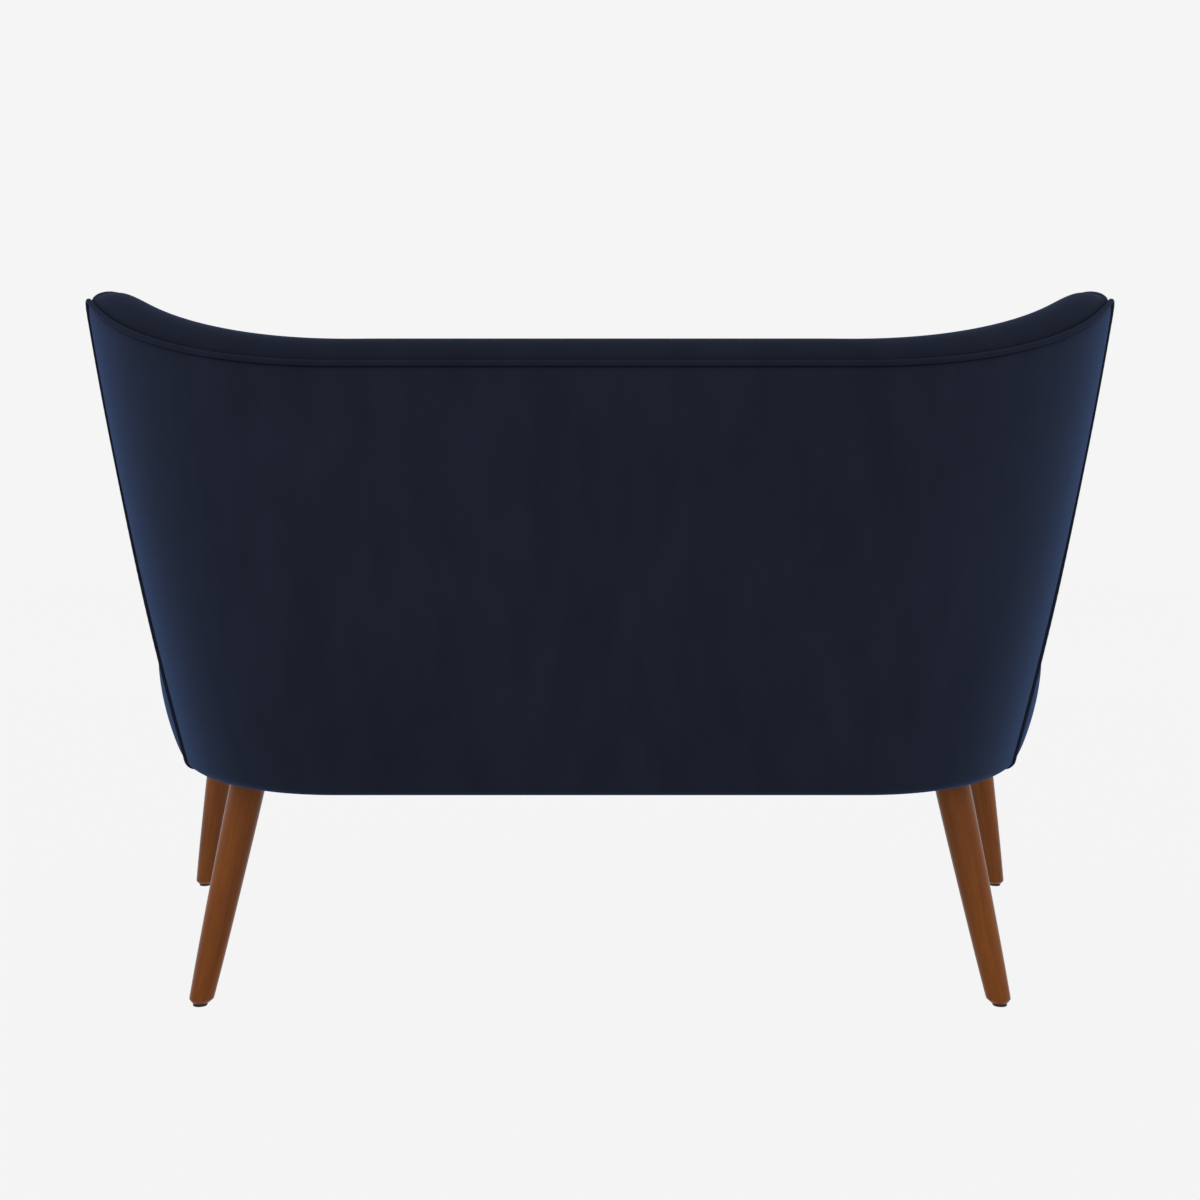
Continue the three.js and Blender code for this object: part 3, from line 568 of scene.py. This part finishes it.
def evaluated(piece):
    return piece.evaluated_get(bpy.context.evaluated_depsgraph_get())


def coordinates(piece):
    found = np.empty(len(piece.data.vertices) * 3, np.float32)
    piece.data.vertices.foreach_get("co", found)
    return found.reshape(-1, 3).astype(float)


def place(piece, points):
    piece.data.vertices.foreach_set("co", points.astype(np.float32).ravel())
    piece.data.update()


def surface_of(*pieces):
    """A search tree over the faces of some pieces."""
    work = bmesh.new()
    for piece in pieces:
        work.from_mesh(piece.data)
    made = BVHTree.FromBMesh(work)
    work.free()
    return made


def held_near(points, surface, hold):
    """Weights that hold the points close to a surface: 1 up to one distance, 0 from another."""
    found = [surface.find_nearest(point, hold.free * MM)[3] for point in points.tolist()]
    distance = np.array([hold.free if far is None else far / MM for far in found])
    return 1 - smoothstep(distance, hold.full, hold.free)


def keep_clear(piece, *neighbours):
    """Moves the points of a piece that lie in or against closed neighbours just off them."""
    points = coordinates(piece)
    for neighbour in neighbours:
        surface = surface_of(neighbour)
        for i, point in enumerate(points):
            spot, normal, _, distance = surface.find_nearest(point.tolist(), CLEAR_REACH * MM)
            if spot is None:
                continue
            spot, normal = np.array(spot), np.array(normal)
            if distance < GAP * MM or (point - spot) @ normal < -GAP * MM / 10:
                points[i] = spot + normal * GAP * MM
    place(piece, points)


def carve(piece, *tools):
    """Cuts closed tools out of a closed piece."""
    for tool in tools:
        cut = piece.modifiers.new("Cut", "BOOLEAN")
        cut.object = tool
        cut.operation = "DIFFERENCE"
        cut.solver = "EXACT"
    bake(piece)
    for tool in tools:
        bpy.data.objects.remove(tool)


def bake(piece):
    """Makes the shape that the modifiers give the piece's own."""
    result = bpy.data.meshes.new_from_object(evaluated(piece))
    piece.modifiers.clear()
    piece.data = result
    result.shade_smooth()


def remesh(piece, size, smoothing):
    voxels = piece.modifiers.new("Voxels", "REMESH")
    voxels.mode = "VOXEL"
    voxels.voxel_size = size * MM
    smooth = piece.modifiers.new("Smooth", "CORRECTIVE_SMOOTH")
    smooth.iterations = smoothing
    smooth.use_only_smooth = True
    bake(piece)


def refine(piece):
    piece.modifiers.new("Finer", "SUBSURF").levels = 1
    bake(piece)


def press_hem(piece):
    """Presses what hangs below the underside nearly flat."""
    points = coordinates(piece)
    below = np.maximum(0, UNDERSIDE * MM - points[:, 2])
    points[:, 2] += below * (1 - SEAT_HEM_LEFT)
    place(piece, points)


def fill_pad(pad, cover, cord):
    """The roll keeps its shape, and the face below it swells towards the sitter."""
    points = coordinates(pad)
    low = SEAT_EDGE_HEIGHT + SEAT_CROWN
    hidden = 1 - smoothstep(points[:, 2] / MM, low, low + PAD_FREE_ABOVE_SEAT)
    seam, rear = [held_near(points, surface_of(piece), PAD_HOLD[key])
                  for key, piece in (("seam", cord), ("cover", cover))]
    swell(pad, np.maximum.reduce([hidden, seam, rear]), PAD_SWELL)
    refine(pad)
    keep_clear(pad, cover, cord)


def fill_seat(seat, *neighbours):
    """The seat swells between the places where it meets its neighbours and its frame."""
    frame_parts = [piece for piece in frame["nodes"].values() if not piece.hide_render]
    points = coordinates(seat)
    covers = held_near(points, surface_of(*neighbours), SEAT_HOLD["covers"])
    inside = held_near(points, surface_of(*frame_parts), SEAT_HOLD["frame"])
    swell(seat, np.maximum(covers, inside), SEAT_SWELL)
    refine(seat)
    keep_clear(seat, *neighbours)


# Forms of the back

def outside_back():
    """The outside back's velvet, from its turn under the settee to its seam along the welt."""
    part, side_past, row, row_past = sheet_grid(COVER_GRID, COVER_PAST)
    reach = np.maximum(side_past, row_past)
    share, rise, _ = sheet_place(part, side_past, row, row_past, UNDERSIDE + UNDER_EDGE_RADIUS)
    near_edge = np.clip(1 - (1 - reach) * WING_TIP_RADIUS / SEAM.width, 0, 1)
    drawn_in = SEAM.depth * (1 - np.sqrt(1 - SEAM.round * near_edge ** 2))
    upper = [shell(share, rise, drawn_in),
             shell(share, rise, COVER_THICKNESS + drawn_in * SEAM.inner_share)]
    foot = []
    for angle in np.linspace(0, math.pi / 2, COVER_GRID.hem)[:-1]:
        height, inset = under_turn(angle)
        share, rise, _ = sheet_place(part[0], side_past[0], row[0], row_past[0], height)
        foot.append([shell(share, rise, inset + depth) for depth in (0, COVER_THICKNESS)])
    outer, inner = [np.concatenate([np.stack([line[i] for line in foot]), upper[i]])
                    for i in (0, 1)]
    return make_slab("outside_back_velvet", outer, inner)


def back_pad():
    """The inside back: foam and velvet that end in a fat roll over the top and down the wings."""
    part, side_past, row, row_past = sheet_grid(PAD_GRID, PAD_PAST)
    reach = np.maximum(side_past, row_past)
    bottom = np.where(side_past > 1, SEAT_EDGE_HEIGHT + GAP, DECK_TOP)
    share, rise, over = sheet_place(part, side_past, row, row_past, bottom)
    edge_rear = lerp(FRAME_INSET, WELT_RADIUS + GAP, np.clip(reach, 0, 1))
    rear = np.where(reach > 0, edge_rear, PAD_INSET)
    front = pad_face(share)
    middle = (rear + front) / 2
    half = (front - rear) / 2 * np.cos(over * math.pi / 2)
    return make_slab("back_pad_velvet", shell(share, rise, middle - half),
                     shell(share, rise, middle + half))


def welt_stretches():
    """(part, side_past, row, row_past, radius) along half the cord: up the wing's front, round its
    corner in two stretches, and along the top to the middle."""
    up = np.linspace(0, 1, WELT_GRID.up)[:-1]
    turn = np.linspace(0, 1, WELT_GRID.turn)
    along = np.linspace(1, 0, WELT_GRID.along)[1:]
    slimmed = smoothstep(up, WELT_SLIM.start, WELT_SLIM.end)
    up_radius = WELT_RADIUS * lerp(1, WELT_SLIM.left, slimmed)
    turn_radius = WELT_RADIUS * np.linspace(WELT_SLIM.left, 1, 2 * WELT_GRID.turn - 1)
    first, second = turn_radius[:WELT_GRID.turn], turn_radius[WELT_GRID.turn:]
    stretches = [(1, 1, up, 0, up_radius), (1, 1, 1, turn, first),
                 (1, turn[-2::-1], 1, 1, second), (along, 0, 1, 1, WELT_RADIUS)]
    return [np.broadcast_arrays(*[np.asarray(value, float) for value in stretch])
            for stretch in stretches]


def welt_half():
    """(share, rise, inset, radius) from the cord's start under the wing to the back's middle."""
    one, none = np.ones(1), np.zeros(1)
    found = []
    for angle in np.linspace(WELT_START.angle, math.pi / 2, WELT_START.steps)[:-1]:
        height, inset = under_turn(angle)
        share, rise, _ = sheet_place(one, one, none, none, height, WELT_RADIUS + GAP)
        found.append((share, rise, inset * one, WELT_RADIUS * one))
    bottom = UNDERSIDE + UNDER_EDGE_RADIUS
    for part, side_past, row, row_past, radius in welt_stretches():
        share, rise, _ = sheet_place(part, side_past, row, row_past, bottom, radius + GAP)
        found.append((share, rise, 0 * share, radius))
    return [np.concatenate(values) for values in zip(*found)]


def welt():
    """The corded seam: up one wing, along the top and down the other."""
    share, rise, inset, radius = welt_half()
    share = np.concatenate([share, -share[-2::-1]])
    rise, inset, radius = [np.concatenate([v, v[-2::-1]]) for v in (rise, inset, radius)]
    middles = shell(share, rise, inset)
    across = shell(share, rise, inset + 1) - middles
    steps = np.linalg.norm(np.diff(middles, axis=0), axis=1)
    far = np.concatenate([[0], np.cumsum(steps)])
    lumpy = np.ones(len(far))
    for lump in WELT_LUMPS:
        lumpy -= lump.depth * np.sin(far * 2 * math.pi / lump.length)
    from_end = np.minimum(far, far[-1] - far)
    tuck = np.sqrt(np.clip(from_end / WELT_TUCK.length, WELT_TUCK.least, 1))
    return make_tube("welt_velvet", middles, across, radius * lumpy * tuck, WELT_GRID.facets)


# Form of the seat

def straight(a, b, steps):
    """Spots and normals of a straight stretch of a plan."""
    spots = lerp(np.array(a, float), np.array(b, float), np.linspace(0, 1, steps)[:, None])
    along = (spots[-1] - spots[0]) / np.linalg.norm(spots[-1] - spots[0])
    return spots, np.tile([along[1], -along[0]], (steps, 1))


def foot_bend(turned_by):
    """Spots and normals of the foot curve's bend, up to where it runs as the seat's sides do."""
    angle = np.linspace(0, turned_by, PLAN_STEPS.bend)
    across = FOOT.flat + FOOT.across * np.sin(angle)
    spots = np.stack([across, FOOT.forward * (1 - np.cos(angle))], -1)
    normals = np.stack([FOOT.forward * np.sin(angle), -FOOT.across * np.cos(angle)], -1)
    return spots, normals / np.linalg.norm(normals, axis=1, keepdims=True)


def front_corner(middle, side_angle):
    angle = np.linspace(-side_angle, math.pi / 2, PLAN_STEPS.corner)
    normals = np.stack([np.cos(angle), np.sin(angle)], -1)
    return middle + SEAT_CORNER_RADIUS * normals, normals


def outline_half():
    """Spots and outward normals of the seat's plan, from the back's middle to the front's."""
    side_angle = math.atan(SIDE_SLOPE)
    side_turn = math.atan2(FOOT.across, FOOT.forward * SIDE_SLOPE)
    start = plan(FOOT, np.array(FLAT_SHARE + (1 - FLAT_SHARE) * side_turn / FOOT.turn))
    corner_x = start[0] + SIDE_SLOPE * (SEAT_FRONT - start[1])
    corner_reach = SEAT_CORNER_RADIUS * math.tan((math.pi / 2 + side_angle) / 2)
    middle = np.array([corner_x - corner_reach, SEAT_FRONT - SEAT_CORNER_RADIUS])
    corner = front_corner(middle, side_angle)
    pieces = [straight([0, 0], [FOOT.flat, 0], PLAN_STEPS.back), foot_bend(side_turn),
              straight(start, corner[0][0], PLAN_STEPS.side), corner,
              straight(corner[0][-1], [0, SEAT_FRONT], PLAN_STEPS.front)]
    return [np.concatenate([pieces[0][i], *[piece[i][1:] for piece in pieces[1:]]])
            for i in (0, 1)]


def outline_ring(spots, normals, height, outward):
    """A whole ring at a height, moved outward from the plan's half and its mirror image."""
    half = spots + normals * np.reshape(outward, (-1, 1))
    left = np.stack([-half[:, 0], -half[:, 1], np.full(len(half), height)], -1)
    right = left[1:-1][::-1] * [-1, 1, 1]
    return np.concatenate([left, right])


def seat_profile(low, high):
    """(height, inset) up the seat's side: the turn under, the side and the edge of the top."""
    turns = np.linspace(0, math.pi / 2, SEAT_STEPS.hem)[:-1]
    hem = [(height - SEAT_HEM_DROP * (low - height) / UNDER_EDGE_RADIUS, inset)
           for height, inset in map(under_turn, turns)]
    side = [(height, 0) for height in np.linspace(low, high, SEAT_STEPS.side)[:-1]]
    edge = [(high + SEAT_TOP_RADIUS * math.sin(a), SEAT_TOP_RADIUS * (1 - math.cos(a)))
            for a in np.linspace(0, math.pi / 2, SEAT_STEPS.edge)]
    return hem + side + edge


def seat_top(edge, centre):
    """Rings from the edge of the top in towards its crown."""
    rings = []
    for t in np.linspace(0, 1, SEAT_STEPS.top)[1:-1]:
        ring = lerp(edge, centre, t)
        ring[:, 2] = SEAT_EDGE_HEIGHT + SEAT_CROWN * (1 - (1 - t) ** 2)
        rings.append(ring)
    return np.stack(rings)


def seat_form():
    """The seat before it is fitted round the back: drawn-in foot, swelling sides, crowned top."""
    spots, normals = outline_half()
    wing_front = plan(FOOT, np.array(1.0))[1]
    ahead = np.maximum(0, (spots[:, 1] - wing_front) / (SEAT_FRONT - wing_front))
    lean = lerp(SEAT_LEAN.rear, SEAT_LEAN.front, ahead) * np.abs(normals[:, 0])
    proud = lerp(SEAT_PROUD.rear, SEAT_PROUD.front, ahead) - SEAT_TAKEN_IN
    bulge = lerp(SEAT_SIDE_BULGE.rear, SEAT_SIDE_BULGE.front, ahead)
    low, high = UNDERSIDE + UNDER_EDGE_RADIUS, SEAT_EDGE_HEIGHT - SEAT_TOP_RADIUS

    def outward(height, inset):
        swelling = bulge * math.sin(math.pi * np.clip((height - low) / (high - low), 0, 1))
        return proud + lean * (height - UNDERSIDE) + swelling - inset

    walls = np.stack([outline_ring(spots, normals, height, outward(height, inset))
                      for height, inset in seat_profile(low, high)])
    centre = np.array([0, -SEAT_FRONT / 2, SEAT_EDGE_HEIGHT + SEAT_CROWN])
    rings = np.concatenate([walls, seat_top(walls[-1], centre)])
    rings[:, :, 2] -= SEAT_TAKEN_IN * smoothstep(rings[:, :, 2], high, SEAT_EDGE_HEIGHT)
    bottom = np.array([0, -SEAT_FRONT / 2, UNDERSIDE - SEAT_HEM_DROP])
    return make_stack("seat_velvet", rings, bottom, centre - [0, 0, SEAT_TAKEN_IN])


def back_space():
    """What the back takes from the seat: the shell as far in as the middle of its pad, and above
    the deck as far as the pad's face. In front of the wings its ears make room for the welt."""
    wall = 1 + GAP / edge_length(0.0)
    ear = wall + (2 * WELT_RADIUS - SEAT_EAR_OVERLAP) / edge_length(0.0)
    between = np.linspace(-wall, wall, CUT_STEPS.across)
    shares = np.concatenate([[-ear, -wall - STEP_SHARE], between, [wall + STEP_SHARE, ear]])
    step = DECK_TOP - GAP
    above_step = np.linspace(step, SEAT_EDGE_HEIGHT + CUT_PAST, CUT_STEPS.up)
    heights = np.concatenate([[UNDERSIDE - CUT_PAST, step - GAP], above_step])[:, None]
    rise = rise_at(shares, heights)
    face = pad_face(shares)
    beside_pad = (heights >= step) & (np.abs(shares) <= wall)
    inset = np.where(beside_pad, face + GAP, (PAD_INSET + face) / 2)
    return make_slab("back_space", shell(shares, rise, -CUT_PAST), shell(shares, rise, inset))


def frame_space():
    """The hollow below the deck, where the seat's frame and springs are."""
    spots, normals = outline_half()
    inset = -(UNDER_EDGE_RADIUS + COVER_THICKNESS)
    heights = (UNDERSIDE - CUT_PAST, DECK_TOP)
    rings = np.stack([outline_ring(spots, normals, height, inset) for height in heights])
    return make_stack("frame_space", rings, *[np.array([0, -SEAT_FRONT / 2, h]) for h in heights])


def seat_pad():
    """The seat, fitted round the back pad and the wings' fronts and hollow below for its frame."""
    piece = seat_form()
    carve(piece, back_space(), frame_space())
    remesh(piece, SEAT_VOXEL, SEAT_SMOOTHING)
    press_hem(piece)
    return piece


# Legs, frame and finishes

def turned(name, profile, place_at, facets):
    """A closed revolved piece from (radius, height) pairs, with level rings round a line."""
    turn = np.linspace(0, 2 * math.pi, facets, endpoint=False)
    ring = np.stack([np.cos(turn), np.sin(turn), 0 * turn], -1)
    rings = np.stack([ring * radius + place_at(height) for radius, height in profile])
    piece = make_stack(name, rings, place_at(profile[0][1]), place_at(profile[-1][1]))
    points = coordinates(piece)
    centres = np.array([place_at(z / MM) * MM + [0, ORIGIN_Y, 0] for z in points[:, 2]])
    local = points - centres
    local[:, 2] = points[:, 2] + GRAIN_SHIFT * centres[0, 0]
    grain = piece.data.attributes.new("grain", "FLOAT_VECTOR", "POINT")
    grain.data.foreach_set("vector", local.astype(np.float32).ravel())
    return piece


def arc_profile(radius, height, bevel, rising, steps=5):
    """A rounded edge of a revolved profile, from its flat end out to its side."""
    sign = 1 if rising else -1
    return [(radius - bevel * (1 - math.sin(a)), height + sign * bevel * (1 - math.cos(a)))
            for a in np.linspace(0, math.pi / 2, steps)]


def glide_profile():
    foot = arc_profile(GLIDE_RADIUS, 0, GLIDE_BEVEL.foot, True)
    return foot + arc_profile(GLIDE_RADIUS, GLIDE_HEIGHT, GLIDE_BEVEL.top, False)[::-1]


def leg_profile():
    """(radius, height) up a leg: its softened chamfer, then its taper with a slight swell."""
    base = GLIDE_HEIGHT + GAP
    narrow = LEG_FOOT_RADIUS - LEG_CHAMFER
    profile = [(narrow + out, base + up) for out, up in CHAMFER_FOOT]
    profile += [(LEG_FOOT_RADIUS + out, base + LEG_CHAMFER + up) for out, up in CHAMFER_TOP]
    for t in LEG_LEVELS:
        swell_here = LEG_SWELL.out * (1 - abs(2 * t - 1) ** LEG_SWELL.power)
        radius = lerp(LEG_FOOT_RADIUS, LEG_TOP_RADIUS, t) + swell_here
        profile.append((radius, lerp(base + LEG_CHAMFER, LEG_TOP, t)))
    return profile


def leg_line(name, side, ahead):
    """The function that gives the middle of a splayed leg at a height, from its glide's place."""
    low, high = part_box(f"{name}_glide")
    lean = np.array([side * SPLAY_ACROSS, ahead * -SPLAY_FORWARD])
    foot = np.array([low.x if side < 0 else high.x, high.y if ahead < 0 else low.y]) / MM
    foot -= [side * GLIDE_RADIUS, -ahead * GLIDE_RADIUS]
    foot[1] -= ORIGIN_Y / MM

    def place_at(height):
        return np.array([*(foot - lean * height), height])

    return place_at


def add_legs(wood, plastic):
    for side_name, side in (("left", -1), ("right", 1)):
        for end, ahead in (("rear", -1), ("front", 1)):
            name = f"{end}_{side_name}"
            place_at = leg_line(name, side, ahead)
            leg = turned(f"{name}_turned_leg", leg_profile(), place_at, TURNED_FACETS.leg)
            settle(leg, "leg_wood", wood, f"{name}_leg")
            glide = turned(f"{name}_moulded_glide", glide_profile(), place_at, TURNED_FACETS.glide)
            settle(glide, "glide", plastic, f"{name}_glide")


def dress_frame():
    """Finishes for the CAD nodes whose shapes stay: the frame, its webbing, springs and fixings."""
    finishes = {
        "timber": raw_timber("sawn_timber"),
        "webbing": woven_strap("woven_strap"),
        "felt": felted("needled_felt", (0.2, 0.19, 0.17), (0.36, 0.35, 0.32)),
        "steel": zinc("zinc_steel"),
        "dust_cover": felted("thin_lining", (0.01, 0.01, 0.011), (0.022, 0.022, 0.024)),
    }
    for part in frame["record"]["subparts"]:
        piece = frame["nodes"][part["node"]]
        if part["material_slot"] in finishes and not piece.hide_render:
            dress(piece, finishes[part["material_slot"]])


# Camera, floor, backdrop and light

def add_camera():
    lens = bpy.data.cameras.new("camera")
    lens.lens = CAMERA.lens
    lens.sensor_width = CAMERA.sensor
    lens.shift_y = CAMERA.shift
    camera = bpy.data.objects.new("camera", lens)
    camera.location = (0, ORIGIN_Y + CAMERA.distance, CAMERA.height)
    camera.rotation_euler = (math.pi / 2, 0, math.pi)
    bpy.context.scene.collection.objects.link(camera)
    bpy.context.scene.camera = camera


def rays_of(tree, *kinds):
    """1 for a ray of one of these kinds, 0 for any other."""
    rays = node(tree, "LightPath")
    found = rays.outputs[f"Is {kinds[0]} Ray"]
    for kind in kinds[1:]:
        inputs = {0: found, 1: rays.outputs[f"Is {kind} Ray"]}
        found = node(tree, "Math", inputs, operation="MAXIMUM").outputs[0]
    return found


def pale_surface(name, colour, shown):
    """A matt surface that the camera and gloss see mostly as a plain pale tone."""
    material = bpy.data.materials.new(name)
    material.use_nodes = True
    tree = material.node_tree
    tree.nodes.clear()
    seen = rays_of(tree, "Camera", "Glossy", "Transmission")
    share = node(tree, "Math", {0: seen, 1: shown}, operation="MULTIPLY").outputs[0]
    matt = node(tree, "BsdfDiffuse", {"Color": (*colour, 1)})
    plain = node(tree, "Emission", {"Color": (*colour, 1), "Strength": 1.0})
    mixed = node(tree, "MixShader", {0: share, 1: matt.outputs[0], 2: plain.outputs[0]})
    output = node(tree, "OutputMaterial")
    tree.links.new(mixed.outputs[0], output.inputs["Surface"])
    return material


def add_stage():
    mesh = bpy.data.meshes.new("floor")
    signs = [(-1, -1), (1, -1), (1, 1), (-1, 1)]
    corners = [(x * FLOOR_REACH, y * FLOOR_REACH, 0) for x, y in signs]
    mesh.from_pydata(corners, [], [(0, 1, 2, 3)])
    floor = bpy.data.objects.new("floor", mesh)
    bpy.context.scene.collection.objects.link(floor)
    dress(floor, pale_surface("pale_floor", PALE, FLOOR_SHOWN))


def add_backdrop():
    """A plain pale world for the camera and gloss, and soft white light for everything else."""
    world = bpy.data.worlds.new("studio")
    world.use_nodes = True
    bpy.context.scene.world = world
    tree = world.node_tree
    tree.nodes.clear()
    seen = rays_of(tree, "Camera", "Glossy")
    plain = node(tree, "Background", {"Color": (*PALE, 1), "Strength": 1.0})
    soft = node(tree, "Background", {"Color": (1, 1, 1, 1), "Strength": AMBIENT})
    mixed = node(tree, "MixShader", {0: seen, 1: soft.outputs[0], 2: plain.outputs[0]})
    output = node(tree, "OutputWorld")
    tree.links.new(mixed.outputs[0], output.inputs["Surface"])


def turned_towards(direction):
    """Euler angles that turn a lamp's -Z axis along a direction."""
    x, y, z = direction / np.linalg.norm(direction)
    return (math.acos(-z), 0, math.atan2(x, -y))


def add_lamps():
    for name, given in LAMPS.items():
        lamp = bpy.data.lights.new(name, "AREA")
        lamp.size = given.size
        lamp.energy = given.power
        holder = bpy.data.objects.new(name, lamp)
        holder.location = given.spot
        holder.rotation_euler = turned_towards(np.array(LAMP_TARGET) - np.array(given.spot))
        bpy.context.scene.collection.objects.link(holder)


def add_upholstery():
    """The cover, the cord and the two filled pieces, which swell between their neighbours."""
    navy = velvet("navy_velvet", **COVER_PILE, sheen=SHEEN.cover)
    # The back pad and the cord take the darker pile, which is painted shade
    pad_velvet = velvet("shaded_velvet", **SHADED_PILE, sheen=SHEEN.pad)
    cord_velvet = velvet("cord_velvet", **SHADED_PILE, sheen=SHEEN.cord)
    cover = outside_back()
    settle(cover, "velvet", navy, "outside_back_cover")
    cord = welt()
    settle(cord, "welt", cord_velvet, "welt_cord")
    pad = back_pad()
    seat = seat_pad()
    settle(pad, "velvet", pad_velvet, "back_pad")
    settle(seat, "velvet", navy, "seat_pad")
    fill_pad(pad, cover, cord)
    fill_seat(seat, pad, cover, cord)


add_camera()
add_upholstery()
add_legs(stained_wood("walnut_stain"), moulded_plastic("black_plastic"))
dress_frame()
add_stage()
bpy.context.scene.view_settings.view_transform = "Standard"
add_backdrop()
add_lamps()
